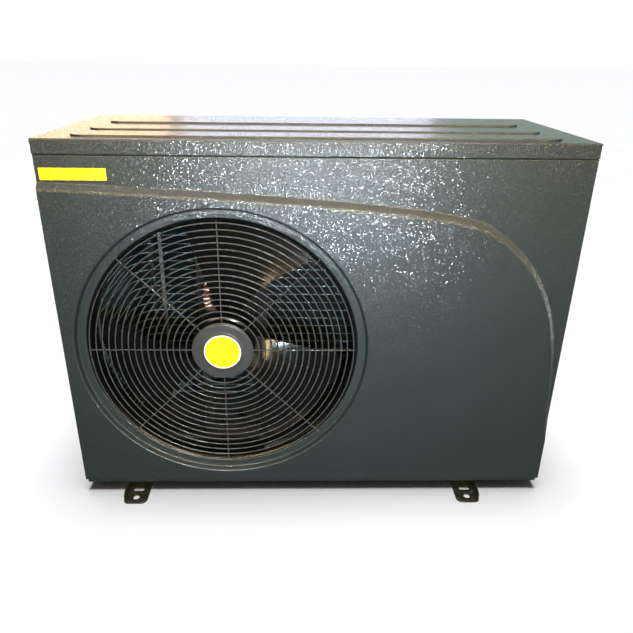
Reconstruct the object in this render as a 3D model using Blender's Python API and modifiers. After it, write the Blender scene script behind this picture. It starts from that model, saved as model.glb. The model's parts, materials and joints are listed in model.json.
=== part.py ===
"""A pool heat pump that blows its air out of the front, built as separate sheet-metal, air, refrigerant,
water and electrical parts. Metres, +Z up. The front faces -Y, the feet stand on z = 0, and the origin is
under the middle of the whole unit."""
import math

import bmesh
import bpy
from mathutils import Matrix, Vector

# ---- Overall sizes ------------------------------------------------------------------------------
CABINET_WIDTH = 0.950
CABINET_DEPTH = 0.390
CABINET_HEIGHT = 0.687          # lower edge of the panels to the top of the cover, without its ribs
PANEL_CLEARANCE = 0.028         # ground to the lower edge of the panels
SHEET = 0.0012                  # casing steel
GAP = 0.0003                    # between pieces that touch
RETURN = 0.015                  # width of a panel's bent-back edge

# ---- Top cover ----------------------------------------------------------------------------------
SKIRT = 0.025
OVERHANG = 0.0015
COVER_CORNER = 0.003
RIB_HEIGHT = 0.003
RIB_WIDTH = 0.060
RIB_CORNER = 0.028
RIB_INSET = 0.050               # from the cover's sides to the first rib's ends
RIB_FRONTS = (0.025, 0.117, 0.232)   # front edge of each rib behind the front of the cabinet
RIB_STEP_IN = 0.005             # each rib is this much shorter at each end than the one in front

# ---- Front panel --------------------------------------------------------------------------------
STEP = 0.008                    # how far the lower field stands in front of the upper one
SWEEP_START = 0.083             # where the step meets the left edge, below the top of the cabinet
SWEEP_END = 0.085               # where it meets the right edge, above the lower edge
SWEEP_JOINT = (0.173, 0.154)    # from the right edge and from the top
SWEEP_FLAT = ((0.273, 0.094), (0.231, 0.118))     # handles: from the left and top, right and top
SWEEP_SIDE = ((-0.012, 0.265), (0.028, 0.220))    # handles: from the right and top, right and bottom
BAND_WIDTH = (0.011, 0.015, 0.015, 0.006)   # width of the sloping band from left to right
SWEEP_STEPS = 11
OPENING_RADIUS = 0.257
LIP = 0.008
RECESS_SLOPE = 0.010
RECESS_DEPTH = 0.012
RECESS_RADIUS = OPENING_RADIUS + 0.019
FAN_FROM_LEFT = RECESS_RADIUS + 0.022
FAN_FROM_BOTTOM = RECESS_RADIUS + 0.022
ROUND_STEPS = 40

# ---- Fan, guard, shroud and motor ---------------------------------------------------------------
GUARD_RADIUS = OPENING_RADIUS - 0.006
GUARD_RINGS = 17
GUARD_HUB_RING = 0.0575
GUARD_SPOKES = 8
SPOKE_END = RECESS_RADIUS - RECESS_SLOPE - 0.003
WIRE = 0.0035
RING_CROSSING = 0.86            # share of a wire's thickness between the rings and the spokes
GUARD_PLATE_RADIUS = 0.057
GUARD_PLATE_RIM = 0.0030
LABEL_RADIUS = 0.035
LABEL_THICKNESS = 0.0003
FRONT_LABEL = (0.112, 0.0205)
FRONT_LABEL_FROM_LEFT = 0.007
FRONT_LABEL_FROM_TOP = 0.0475
SHROUD_FLANGE = OPENING_RADIUS + 0.014
SHROUD_THROAT = OPENING_RADIUS - 0.007
SHROUD_DEPTH = 0.060
SHROUD_WALL = 0.0025
SHROUD_MOUTH = 0.022            # depth of the rounded mouth
FAN_RADIUS = SHROUD_THROAT - 0.007
FAN_HUB_RADIUS = 0.060
FAN_HUB_DEPTH = 0.062
FAN_HUB_WALL = 0.004
FAN_HUB_BOSS = 0.016
FAN_BEHIND_GUARD = 0.022
FAN_BLADES = 3
BLADE_SPAN = (math.radians(46), math.radians(66))   # at the hub and at the tip
BLADE_LEAD = math.radians(-12)  # how far the tip's middle stands round from the root's
BLADE_PITCH = 0.052
BLADE_CAMBER = 0.006
BLADE_THICKNESS = 0.003
FIRST_BLADE = math.radians(88)
SHAFT_RADIUS = 0.006
SHAFT_CLEARANCE = 0.0004
SHAFT_BEYOND_FAN = 0.014
FAN_NUT = (0.0115, 0.010)       # radius, thickness
MOTOR_RADIUS = 0.056
MOTOR_LENGTH = 0.088
MOTOR_BEHIND_FAN = 0.012
MOTOR_SHOULDER = 0.014
BRACKET_WIDTH = 0.150
BRACKET_PLATE = 0.062           # half the height of the plate behind the motor
BRACKET_RAIL = 0.020
BRACKET_THICKNESS = 0.002

# ---- Base ---------------------------------------------------------------------------------------
PAN_FLANGE = 0.030
PAN_BELOW_PANEL = 0.013
FOOT_WIDTH = 0.048
FOOT_SHEET = 0.0025
FOOT_REACH = 0.050              # how far a foot stands out at the front and at the rear
FOOT_FROM_LEFT = 0.108          # centre line of the left foot
FOOT_FROM_RIGHT = 0.155         # centre line of the right foot
FOOT_HOLE_RADIUS = 0.0065
FOOT_CORNER = 0.012
SLOT = (0.022, 0.009)
FOOT_FLANGE = 0.028
HOLE_FROM_TIP = 0.018
SLOT_FROM_TIP = 0.042
DRAIN_RADIUS = 0.010
DRAIN_LOW = 0.004
DRAIN_Y = 0.060

# ---- Coil ---------------------------------------------------------------------------------------
COIL_THICKNESS = 0.038
COIL_FROM_REAR = 0.018
COIL_FROM_LEFT = 0.012
COIL_BEND = 0.060               # inner bend radius
COIL_LEFT_END = 0.078           # front end of the left run, behind the front of the cabinet
COIL_BEYOND_PARTITION = 0.025
COIL_ABOVE_PAN = 0.006
COIL_BELOW_COVER = 0.108
WINDOW_MARGIN = 0.024           # from the coil's edges to the windows' edges
GRILLE_THICKNESS = 0.003
GRILLE_BAR = 0.004
GRILLE_FRAME = 0.008            # width of a grille's edge behind the panel
GRILLE_ROWS = 12
END_PLATE = 0.002
HEADER_RADIUS = 0.008
HEADER_FROM_COIL = (0.018, 0.012)   # beyond its right end, behind its front face
HEADER_MARGIN = (0.040, 0.100)  # below and above the header, within the coil's height
HEADER_TAILS = 6
TAIL_MARGIN = 0.030
TAIL_RADIUS = 0.0045
RETURN_BEND = (0.016, 0.021, 0.009)  # reach, height and bend radius
RETURN_BEND_TAIL = 2            # the return bend stands above this tail

# ---- Compressor side ----------------------------------------------------------------------------
PARTITION_FROM_RECESS = 0.017
PARTITION_FOOT = 0.014
COMPRESSOR_RADIUS = 0.068
COMPRESSOR_HEIGHT = 0.270
MOUNT_CIRCLE = COMPRESSOR_RADIUS + 0.017
MOUNT_SHEET = 0.003
COMPRESSOR_FROM_PARTITION = MOUNT_CIRCLE + 0.023
COMPRESSOR_FROM_FRONT = MOUNT_CIRCLE + 0.043
GROMMET = (0.015, 0.018)        # radius, height
BOLT_RADIUS = 0.004
BOLT_HEAD = (0.007, 0.006)      # radius, height
TERMINAL_COVER = (0.022, 0.034)     # radius, height
TERMINAL_OFFSET = 0.018
ACCUMULATOR_LOW = 0.040         # above the compressor's underside
ACCUMULATOR_APART = 0.008
ACCUMULATOR_TURN = math.radians(6)
ACCUMULATOR_RADIUS = 0.030
ACCUMULATOR_HEIGHT = 0.190
EXCHANGER_RADIUS = 0.075
EXCHANGER_HEIGHT = 0.400
EXCHANGER_WALL = 0.005
EXCHANGER_FROM_RIGHT = 0.098
EXCHANGER_FROM_REAR = 0.105
LID_THICKNESS = 0.012
LID_OVERHANG = 0.004
TITANIUM_RADIUS = 0.006
TITANIUM_ABOVE_LID = 0.012
TITANIUM_COIL = 0.048
TITANIUM_TURNS = 4
PORT_HEIGHTS = (0.110, 0.330)   # above the pan floor
PORT_OUTER = 0.030
PORT_BORE = PORT_OUTER - 0.009
PORT_REACH = 0.014              # beyond the right panel
TAIL_REACH = 0.050
TAIL_OUTER = PORT_OUTER - 0.0010
SOCKET_RADIUS = PORT_OUTER - 0.00485    # takes a 50 mm pipe
SOCKET_SEAT = 0.005
FLANGE_OUTER = PORT_OUTER + 0.0025
FLANGE_THICKNESS = 0.005
NUT_RADIUS = PORT_OUTER + 0.011
NUT_RIBS = 12
NUT_RIB = (0.13, 0.19)          # half of a rib's top and of its foot, in radians
NUT_RIB_HEIGHT = 0.0035
NUT_CLEARANCE = 0.0010
NUT_WALL_START = 0.002
NUT_LIP = 0.0065
PIPE_RADIUS = 0.0048
SUCTION_RADIUS = 0.0063
VALVE = (0.013, 0.042)          # reversing valve: radius, half its length
VALVE_BELOW_BOX = 0.075
VALVE_FROM_COMPRESSOR = 0.045
VALVE_STUB = (0.007, 0.028)     # radius, reach from the valve's middle
VALVE_PORTS = 0.026             # between the ports
DISCHARGE_FROM = (-0.59 * COMPRESSOR_RADIUS, 0.29 * COMPRESSOR_RADIUS)   # from its middle
PIPE_BEND = 0.014
SMALL_BEND = 0.011
EXPANSION = (0.013, 0.048)      # expansion valve: radius, height
EXPANSION_STUB = (0.007, 0.014)
EXPANSION_OUTLET = (0.006, 0.026)
EXPANSION_FROM_COIL = (0.060, 0.045, 0.170)     # right of it, before it, above its lower edge

# ---- Electrical side ----------------------------------------------------------------------------
BOX_SIZE = (0.285, 0.140, 0.105)
BOX_BELOW_COVER = 0.022
BOX_FROM_FRONT = 0.020
HANDLE_SIZE = (0.115, 0.040)
HANDLE_DEPTH = 0.026
HANDLE_WALL = 0.0025
HANDLE_RIM = 0.002              # how far the rim stands out
HANDLE_RIM_WIDTH = 0.005
HANDLE_BELOW_TOP = 0.075
HANDLE_CORNER = 0.008
LEFT_SEAM = 0.020               # below the handle's hole
RIGHT_SEAM = 0.035              # below the middle of the cable gland
HANDLE_CLEARANCE = 0.0006
GLAND_RADIUS = 0.011
GLAND_BORE = 0.0055
GLAND_FROM_REAR = 0.045
GLAND_BELOW_TOP = 0.120
BOARD = (0.140, 0.0016, 0.008)  # length, thickness, height above the tray's floor
CONTACTOR = (0.050, 0.056, 0.060)
CAPACITOR = (0.022, 0.075)      # radius, height

# ---- Worked out from the above ------------------------------------------------------------------
CABINET_X = (GAP + HANDLE_RIM - TAIL_REACH) / 2   # the left handle and the unions reach out furthest
LEFT = -CABINET_WIDTH / 2
RIGHT = CABINET_WIDTH / 2
FRONT = -CABINET_DEPTH / 2
REAR = CABINET_DEPTH / 2
BOTTOM = PANEL_CLEARANCE
TOP = PANEL_CLEARANCE + CABINET_HEIGHT
SKIRT_BOTTOM = TOP - SKIRT
PANEL_TOP = TOP - SHEET - GAP
PAN_BOTTOM = PANEL_CLEARANCE - PAN_BELOW_PANEL
PAN_FLOOR = PAN_BOTTOM + SHEET
ON_PAN = PAN_FLOOR + GAP
FIELD = FRONT - STEP                            # the front panel's lower field
FLOOR = FIELD + RECESS_DEPTH                    # the floor of the round recess
SPOKE_Y = FLOOR - GAP - WIRE / 2
RING_Y = SPOKE_Y - WIRE * RING_CROSSING
FAN_X = LEFT + FAN_FROM_LEFT
FAN_Z = BOTTOM + FAN_FROM_BOTTOM
FAN_FRONT = FLOOR + FAN_BEHIND_GUARD
FAN_REAR = FAN_FRONT + FAN_HUB_DEPTH
MOTOR_FRONT = FAN_REAR + MOTOR_BEHIND_FAN
MOTOR_REAR = MOTOR_FRONT + MOTOR_LENGTH
PARTITION_X = FAN_X + RECESS_RADIUS + PARTITION_FROM_RECESS
COIL_REAR = REAR - COIL_FROM_REAR
COIL_FRONT = COIL_REAR - COIL_THICKNESS
COIL_LEFT = LEFT + COIL_FROM_LEFT
COIL_RIGHT = PARTITION_X + COIL_BEYOND_PARTITION
COIL_LOW = ON_PAN + COIL_ABOVE_PAN
COIL_HIGH = TOP - COIL_BELOW_COVER
WINDOW_LOW = PAN_BOTTOM + PAN_FLANGE + GRILLE_FRAME + 0.004
COMPRESSOR_X = PARTITION_X + COMPRESSOR_FROM_PARTITION
COMPRESSOR_Y = FRONT + COMPRESSOR_FROM_FRONT
COMPRESSOR_LOW = ON_PAN + GROMMET[1] + GAP
EXCHANGER_X = RIGHT - EXCHANGER_FROM_RIGHT
EXCHANGER_Y = REAR - EXCHANGER_FROM_REAR
EXCHANGER_LOW = ON_PAN
EXCHANGER_TOP = EXCHANGER_LOW + EXCHANGER_HEIGHT
BOX_HIGH = TOP - BOX_BELOW_COVER
BOX_LOW = BOX_HIGH - BOX_SIZE[2]
BOX_RIGHT = RIGHT - 0.030
BOX_LEFT = BOX_RIGHT - BOX_SIZE[0]
BOX_FRONT = FRONT + BOX_FROM_FRONT
BOX_REAR = BOX_FRONT + BOX_SIZE[1]

FINISHES = {                    # colour (linear), roughness, metallic
    "dark_paint": ((0.045, 0.058, 0.060), 0.42, 0.0),
    "guard_paint": ((0.16, 0.18, 0.19), 0.45, 0.0),
    "foot_paint": ((0.050, 0.050, 0.042), 0.35, 0.0),
    "galvanised": ((0.48, 0.49, 0.50), 0.42, 1.0),
    "yellow_film": ((0.90, 0.86, 0.02), 0.40, 0.0),
    "black_plastic": ((0.015, 0.016, 0.017), 0.50, 0.0),
    "blue_fins": ((0.06, 0.26, 0.34), 0.40, 0.6),
    "copper": ((0.72, 0.30, 0.16), 0.28, 1.0),
    "brass": ((0.62, 0.44, 0.16), 0.35, 1.0),
    "steel": ((0.42, 0.42, 0.43), 0.30, 1.0),
    "black_paint": ((0.012, 0.012, 0.013), 0.32, 0.0),
    "rubber": ((0.018, 0.018, 0.018), 0.85, 0.0),
    "grey_pvc": ((0.22, 0.23, 0.24), 0.42, 0.0),
    "titanium": ((0.36, 0.34, 0.32), 0.35, 1.0),
    "circuit_board": ((0.02, 0.16, 0.07), 0.50, 0.0),
    "pale_plastic": ((0.62, 0.62, 0.58), 0.45, 0.0),
}

FACING_FRONT = (math.pi / 2, 0, 0)              # local X, Y, Z become X, Z, -Y
FACING_SIDE = (math.pi / 2, 0, math.pi / 2)     # local X, Y, Z become Y, Z, X
AXES = {"X": (0, math.pi / 2, 0), "Y": (-math.pi / 2, 0, 0), "Z": (0, 0, 0)}


# ---- Scene and helpers --------------------------------------------------------------------------
for old in list(bpy.data.objects):
    bpy.data.objects.remove(old, do_unlink=True)
PARTS = bpy.data.collections.new("pool_heat_pump")
CUTTERS = bpy.data.collections.new("cutters")
bpy.context.scene.collection.children.link(PARTS)
bpy.context.scene.collection.children.link(CUTTERS)
cabinet = bpy.data.objects.new("cabinet", None)
cabinet.location.x = CABINET_X
PARTS.objects.link(cabinet)


def finish(obj, kind):
    colour, roughness, metallic = FINISHES[kind]
    material = bpy.data.materials.new(f"{obj.name}_{kind}")
    material.use_nodes = True
    shader = material.node_tree.nodes["Principled BSDF"]
    shader.inputs["Base Color"].default_value = (*colour, 1)
    shader.inputs["Roughness"].default_value = roughness
    shader.inputs["Metallic"].default_value = metallic
    obj.data.materials.append(material)


def place(name, data, kind, location=(0, 0, 0), rotation=(0, 0, 0)):
    """Puts a mesh or curve in the cabinet; kind None makes it a cutter or a shape to be joined."""
    obj = bpy.data.objects.new(name, data)
    obj.location = location
    obj.rotation_euler = rotation
    obj.parent = cabinet
    if kind is None:
        CUTTERS.objects.link(obj)
        obj.hide_render = True
        obj.display_type = "WIRE"
    else:
        PARTS.objects.link(obj)
        finish(obj, kind)
    return obj


def mesh_of(shape, name):
    mesh = bpy.data.meshes.new(name)
    shape.to_mesh(mesh)
    shape.free()
    return mesh


def smooth(mesh, angle=math.radians(35)):
    mesh.shade_smooth()
    mesh.set_sharp_from_angle(angle=angle)


def box(name, low, high, kind, edge=0.0):
    """A box between two corners, with its edges rounded to the radius edge."""
    low = Vector(low)
    high = Vector(high)
    shape = bmesh.new()
    bmesh.ops.create_cube(shape, size=1, matrix=Matrix.Diagonal((*(high - low), 1)))
    obj = place(name, mesh_of(shape, name), kind, (low + high) / 2)
    if edge:
        bevel = obj.modifiers.new("edges", "BEVEL")
        bevel.width = edge
        bevel.segments = 2
    return obj


def cylinder(name, radius, length, location, axis, kind, sides=24, radius_end=None):
    """A cylinder or cone that starts at location and runs along the axis."""
    shape = bmesh.new()
    bmesh.ops.create_cone(shape, cap_ends=True, segments=sides, radius1=radius,
                          radius2=radius if radius_end is None else radius_end, depth=length,
                          matrix=Matrix.Translation((0, 0, length / 2)))
    mesh = mesh_of(shape, name)
    smooth(mesh)
    return place(name, mesh, kind, location, AXES[axis])


def turned(name, profile, location, axis, kind, steps=ROUND_STEPS, closed=False):
    """Turns a profile of (radius, height) points; the outer side runs from the top down."""
    shape = bmesh.new()
    points = [shape.verts.new((radius, 0, height)) for radius, height in profile]
    for one, other in zip(points, points[1:]):
        shape.edges.new((one, other))
    if closed:
        shape.edges.new((points[-1], points[0]))
    obj = place(name, mesh_of(shape, name), kind, location, AXES[axis])
    screw = obj.modifiers.new("turn", "SCREW")
    screw.steps = steps
    screw.render_steps = steps
    screw.use_merge_vertices = True
    screw.merge_threshold = 0.00005
    return obj


def circle(radius, steps, centre=(0, 0), start=0.0, turn=math.tau):
    """Points round a circle or, with a smaller turn, along an arc with both its ends."""
    last = steps if turn == math.tau else steps + 1
    angles = [start + turn * step / steps for step in range(last)]
    return [(centre[0] + radius * math.cos(a), centre[1] + radius * math.sin(a)) for a in angles]


def rounded(width, height, radius, centre=(0, 0), steps=3):
    """A rectangle with round corners."""
    points = []
    for corner, (side, level) in enumerate(((1, 1), (-1, 1), (-1, -1), (1, -1))):
        middle = (centre[0] + side * (width / 2 - radius), centre[1] + level * (height / 2 - radius))
        points += circle(radius, steps, middle, corner * math.pi / 2, math.pi / 2)
    return points


def rectangle(low, high):
    return [low, (high[0], low[1]), high, (low[0], high[1])]


def plate(name, outline, holes, thickness, kind, location=(0, 0, 0), rotation=(0, 0, 0)):
    """A flat piece with holes: its outline lies in the local XY plane, half of it on each side."""
    curve = bpy.data.curves.new(name, "CURVE")
    curve.dimensions = "2D"
    curve.fill_mode = "BOTH"
    curve.extrude = thickness / 2
    for loop in (outline, *holes):
        spline = curve.splines.new("POLY")
        spline.points.add(len(loop) - 1)
        for point, (x, y) in zip(spline.points, loop):
            point.co = (x, y, 0, 1)
        spline.use_cyclic_u = True
    return place(name, curve, kind, location, rotation)


def as_mesh(curve_object):
    """Replaces a curve by its closed mesh, which can be cut and joined."""
    bpy.context.view_layer.update()
    graph = bpy.context.evaluated_depsgraph_get()
    mesh = bpy.data.meshes.new_from_object(curve_object.evaluated_get(graph))
    shape = bmesh.new()
    shape.from_mesh(mesh)
    bmesh.ops.remove_doubles(shape, verts=shape.verts, dist=0.00001)
    bmesh.ops.recalc_face_normals(shape, faces=shape.faces)
    shape.to_mesh(mesh)
    shape.free()
    name = curve_object.name
    curve_object.name = name + "_outline"
    new = bpy.data.objects.new(name, mesh)
    new.parent = cabinet
    new.matrix_world = curve_object.matrix_world
    new.hide_render = curve_object.hide_render
    new.display_type = curve_object.display_type
    for group in curve_object.users_collection:
        group.objects.link(new)
    bpy.data.objects.remove(curve_object)
    return new


def tube(name, points, radius, kind):
    """A round bar or pipe along points."""
    curve = bpy.data.curves.new(name, "CURVE")
    curve.dimensions = "3D"
    curve.bevel_depth = radius
    curve.bevel_resolution = 2
    curve.use_fill_caps = True
    spline = curve.splines.new("POLY")
    spline.points.add(len(points) - 1)
    for point, place_at in zip(spline.points, points):
        point.co = (*place_at, 1)
    return place(name, curve, kind)


def route(corners, bend, steps=3):
    """Points along straight runs whose corners are rounded to the radius bend."""
    corners = [Vector(corner) for corner in corners]
    points = [corners[0]]
    for before, corner, after in zip(corners, corners[1:], corners[2:]):
        back = (before - corner).normalized()
        ahead = (after - corner).normalized()
        half = back.angle(ahead) / 2
        reach = bend / math.tan(half)
        centre = corner + (back + ahead).normalized() * (bend / math.sin(half))
        first = corner + back * reach - centre
        last = corner + ahead * reach - centre
        for step in range(steps + 1):
            points.append(centre + first.lerp(last, step / steps).normalized() * bend)
    return [*points, corners[-1]]


def combine(obj, operation, tool):
    """Cuts the tool out of an object, or joins it on."""
    if tool.name in PARTS.objects:
        PARTS.objects.unlink(tool)
        CUTTERS.objects.link(tool)
    tool.hide_render = True
    tool.display_type = "WIRE"
    boolean = obj.modifiers.new(tool.name, "BOOLEAN")
    boolean.operation = operation
    boolean.object = tool
    boolean.solver = "EXACT"
    return obj


# ---- Base ---------------------------------------------------------------------------------------
def make_base_pan():
    """A tray whose upturned edge fits inside the panels; the panels stand on nothing."""
    inset = SHEET + GAP
    low = (LEFT + inset, FRONT + inset, PAN_BOTTOM)
    high = (RIGHT - inset, REAR - inset, PAN_BOTTOM + PAN_FLANGE)
    pan = box("base_pan", low, high, "galvanised")
    hollow = box("pan_hollow", (low[0] + SHEET, low[1] + SHEET, PAN_FLOOR),
                 (high[0] - SHEET, high[1] - SHEET, high[2] + SHEET), None)
    combine(pan, "DIFFERENCE", hollow)
    drain = cylinder("pan_drain", DRAIN_RADIUS, 3 * SHEET, (FAN_X, DRAIN_Y, PAN_BOTTOM - SHEET), "Z", None)
    combine(pan, "DIFFERENCE", drain)


def make_foot(name, x, outer):
    """A bent rail: a floor plate with a hole and a slot at each end, a web on its outer side, and a
    flange under the pan."""
    reach = CABINET_DEPTH / 2 + FOOT_REACH
    height = PAN_BOTTOM - GAP
    outline = rounded(FOOT_WIDTH, 2 * reach, FOOT_CORNER, steps=4)
    holes = []
    for end in (-1, 1):
        holes.append(circle(FOOT_HOLE_RADIUS, 16, (0, end * (reach - HOLE_FROM_TIP))))
        holes.append(rounded(SLOT[0], SLOT[1], SLOT[1] / 2 - 0.0001, (0, end * (reach - SLOT_FROM_TIP)), 3))
    foot = as_mesh(plate(name, outline, holes, FOOT_SHEET, "foot_paint", (x, 0, FOOT_SHEET / 2)))
    edge = outer * FOOT_WIDTH / 2
    web_reach = reach - FOOT_CORNER
    web_sides = sorted((edge + x, edge - outer * FOOT_SHEET + x))
    web = box(name + "_web", (web_sides[0], -web_reach, 0), (web_sides[1], web_reach, height), None)
    combine(foot, "UNION", web)
    flange_sides = sorted((edge + x, edge - outer * FOOT_FLANGE + x))
    flange = box(name + "_flange", (flange_sides[0], FRONT + 0.004, height - FOOT_SHEET),
                 (flange_sides[1], REAR - 0.004, height), None)
    combine(foot, "UNION", flange)


def make_drain_spout():
    """A moulded spout that hangs in the pan's drain hole by its flange."""
    outer = DRAIN_RADIUS - GAP
    flange = outer + 0.004
    wall = 0.0018
    profile = [(flange, ON_PAN + 0.002), (flange, ON_PAN), (outer, ON_PAN), (outer - 0.001, DRAIN_LOW),
               (outer - 0.001 - wall, DRAIN_LOW), (outer - wall, ON_PAN + 0.002)]
    turned("drain_spout", profile, (FAN_X, DRAIN_Y, 0), "Z", "black_plastic", 12, True)


# ---- Casing -------------------------------------------------------------------------------------
def bezier(points, share):
    a, b, c, d = (Vector(point) for point in points)
    left = 1 - share
    return a * left ** 3 + b * 3 * share * left ** 2 + c * 3 * share ** 2 * left + d * share ** 3


def sweep():
    """The lower and upper edges of the sloping band, each a list of (x, z) from left to right."""
    start = (LEFT, TOP - SWEEP_START)
    joint = (RIGHT - SWEEP_JOINT[0], TOP - SWEEP_JOINT[1])
    flat = ((LEFT + SWEEP_FLAT[0][0], TOP - SWEEP_FLAT[0][1]),
            (RIGHT - SWEEP_FLAT[1][0], TOP - SWEEP_FLAT[1][1]))
    side = ((RIGHT - SWEEP_SIDE[0][0], TOP - SWEEP_SIDE[0][1]),
            (RIGHT - SWEEP_SIDE[1][0], BOTTOM + SWEEP_SIDE[1][1]))
    end = (RIGHT, BOTTOM + SWEEP_END)
    shares = [step / SWEEP_STEPS for step in range(SWEEP_STEPS + 1)]
    lower = [bezier((start, *flat, joint), share) for share in shares]
    lower += [bezier((joint, *side, end), share) for share in shares[1:]]
    upper = []
    for index, point in enumerate(lower):
        before = lower[max(index - 1, 0)]
        after = lower[min(index + 1, len(lower) - 1)]
        along = (after - before).normalized()
        width = bezier([(value, 0) for value in BAND_WIDTH], index / (len(lower) - 1)).x
        corner = point + Vector((-along.y, along.x)) * width
        upper.append(Vector((min(corner.x, RIGHT - 2 * SHEET), corner.y)))
    upper[0] = Vector((LEFT, lower[0].y + BAND_WIDTH[0]))
    upper[-1] = Vector((RIGHT, lower[-1].y + 2 * BAND_WIDTH[-1]))
    return lower, upper


def make_front_panel():
    """One pressed sheet: an upper field, a sloping band, a lower field that stands forward, the round
    recess with its opening, and bent-back edges at the sides and the top."""
    lower, upper = sweep()
    shape = bmesh.new()

    def point(x, y, z):
        return shape.verts.new((x, y, z))

    low_edge = [point(p.x, FIELD, p.y) for p in lower]
    high_edge = [point(p.x, FRONT, p.y) for p in upper]
    corners = [point(LEFT, FIELD, BOTTOM), point(RIGHT, FIELD, BOTTOM)]
    tops = [point(LEFT, FRONT, PANEL_TOP), point(RIGHT, FRONT, PANEL_TOP)]
    foot_middle = point(FAN_X, FIELD, BOTTOM)
    shape.faces.new([tops[0], *high_edge, tops[1]])
    for index in range(len(lower) - 1):
        shape.faces.new([high_edge[index], low_edge[index], low_edge[index + 1], high_edge[index + 1]])
    rings = []
    for radius, y in ((RECESS_RADIUS, FIELD), (RECESS_RADIUS - RECESS_SLOPE, FLOOR), (OPENING_RADIUS, FLOOR),
                      (OPENING_RADIUS, FLOOR + LIP)):
        ring = circle(radius, ROUND_STEPS, (FAN_X, FAN_Z), math.pi / 2)
        rings.append([point(x, y, z) for x, z in ring])
    for outer, inner in zip(rings, rings[1:]):
        for index in range(ROUND_STEPS):
            after = (index + 1) % ROUND_STEPS
            shape.faces.new([outer[index], outer[after], inner[after], inner[index]])
    half = ROUND_STEPS // 2
    rim = rings[0]
    near = min(range(len(lower)), key=lambda index: abs(lower[index].x - FAN_X))
    shape.faces.new([corners[0], foot_middle, *reversed(rim[:half + 1]), *reversed(low_edge[:near + 1])])
    shape.faces.new([foot_middle, corners[1], *reversed(low_edge[near:]), rim[0], *reversed(rim[half:])])
    edge = [corners[0], low_edge[0], high_edge[0], tops[0], tops[1], high_edge[-1], low_edge[-1], corners[1]]
    back = [point(vertex.co.x, FRONT + RETURN, vertex.co.z) for vertex in edge]
    for index in range(len(edge) - 1):
        shape.faces.new([edge[index], edge[index + 1], back[index + 1], back[index]])
    bmesh.ops.recalc_face_normals(shape, faces=shape.faces)
    front = max(shape.faces, key=lambda face: face.calc_area())
    if front.normal.y > 0:
        bmesh.ops.reverse_faces(shape, faces=shape.faces)
    mesh = mesh_of(shape, "front_panel")
    panel = place("front_panel", mesh, "dark_paint")
    solidify = panel.modifiers.new("sheet", "SOLIDIFY")
    solidify.thickness = SHEET
    solidify.offset = -1
    solidify.use_even_offset = True


def make_top_cover():
    """A pressed lid with a skirt all round and three long raised ribs."""
    low = (LEFT - OVERHANG, FRONT - OVERHANG, SKIRT_BOTTOM)
    high = (RIGHT + OVERHANG, REAR + OVERHANG, TOP)
    size = (high[0] - low[0], high[1] - low[1])
    height = high[2] - low[2]
    cover = as_mesh(plate("top_cover", rounded(*size, COVER_CORNER), [], height, "dark_paint",
                          (0, 0, low[2] + height / 2)))
    inner = rounded(size[0] - 2 * SHEET, size[1] - 2 * SHEET, GAP)
    hollow = as_mesh(plate("cover_hollow", inner, [], height, None, (0, 0, low[2] + height / 2 - SHEET)))
    for number, front in enumerate(RIB_FRONTS, 1):
        length = CABINET_WIDTH - 2 * (RIB_INSET + RIB_STEP_IN * (number - 1))
        y = FRONT + front + RIB_WIDTH / 2
        name = f"rib_{number}"
        rib = as_mesh(plate(name, rounded(length, RIB_WIDTH, RIB_CORNER, steps=4), [],
                            RIB_HEIGHT + SHEET / 2, None, (0, y, TOP + RIB_HEIGHT / 2 - SHEET / 4)))
        combine(cover, "UNION", rib)
        inner = rounded(length - 2 * SHEET, RIB_WIDTH - 2 * SHEET, RIB_CORNER - SHEET, steps=4)
        relief = as_mesh(plate(name + "_relief", inner, [], RIB_HEIGHT + SHEET, None,
                               (0, y, TOP + RIB_HEIGHT / 2 - SHEET * 1.5)))
        combine(hollow, "UNION", relief)
    combine(cover, "DIFFERENCE", hollow)


def handle_hole(y):
    z = TOP - HANDLE_BELOW_TOP
    clear = HANDLE_CLEARANCE
    return rounded(HANDLE_SIZE[0] + clear, HANDLE_SIZE[1] + clear, HANDLE_CORNER, (y, z), 2)


def side_outline(low, high):
    reach = RETURN + GAP
    return rectangle((FRONT + reach, low), (REAR - reach, high))


def left_window():
    """The low and high corners of the window beside the coil's left run, as (y, z)."""
    low = (FRONT + COIL_LEFT_END + WINDOW_MARGIN / 2, WINDOW_LOW)
    return low, (COIL_REAR - COIL_THICKNESS, COIL_HIGH - WINDOW_MARGIN)


def rear_window():
    """The low and high corners of the window behind the coil's rear run, as (x, z)."""
    low = (COIL_LEFT + COIL_THICKNESS, WINDOW_LOW)
    return low, (COIL_RIGHT - WINDOW_MARGIN, COIL_HIGH - WINDOW_MARGIN)


def window_outline(low, high, wider=0.0):
    centre = ((low[0] + high[0]) / 2, (low[1] + high[1]) / 2)
    return rounded(high[0] - low[0] + 2 * wider, high[1] - low[1] + 2 * wider, 0.010, centre, 2)


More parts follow.
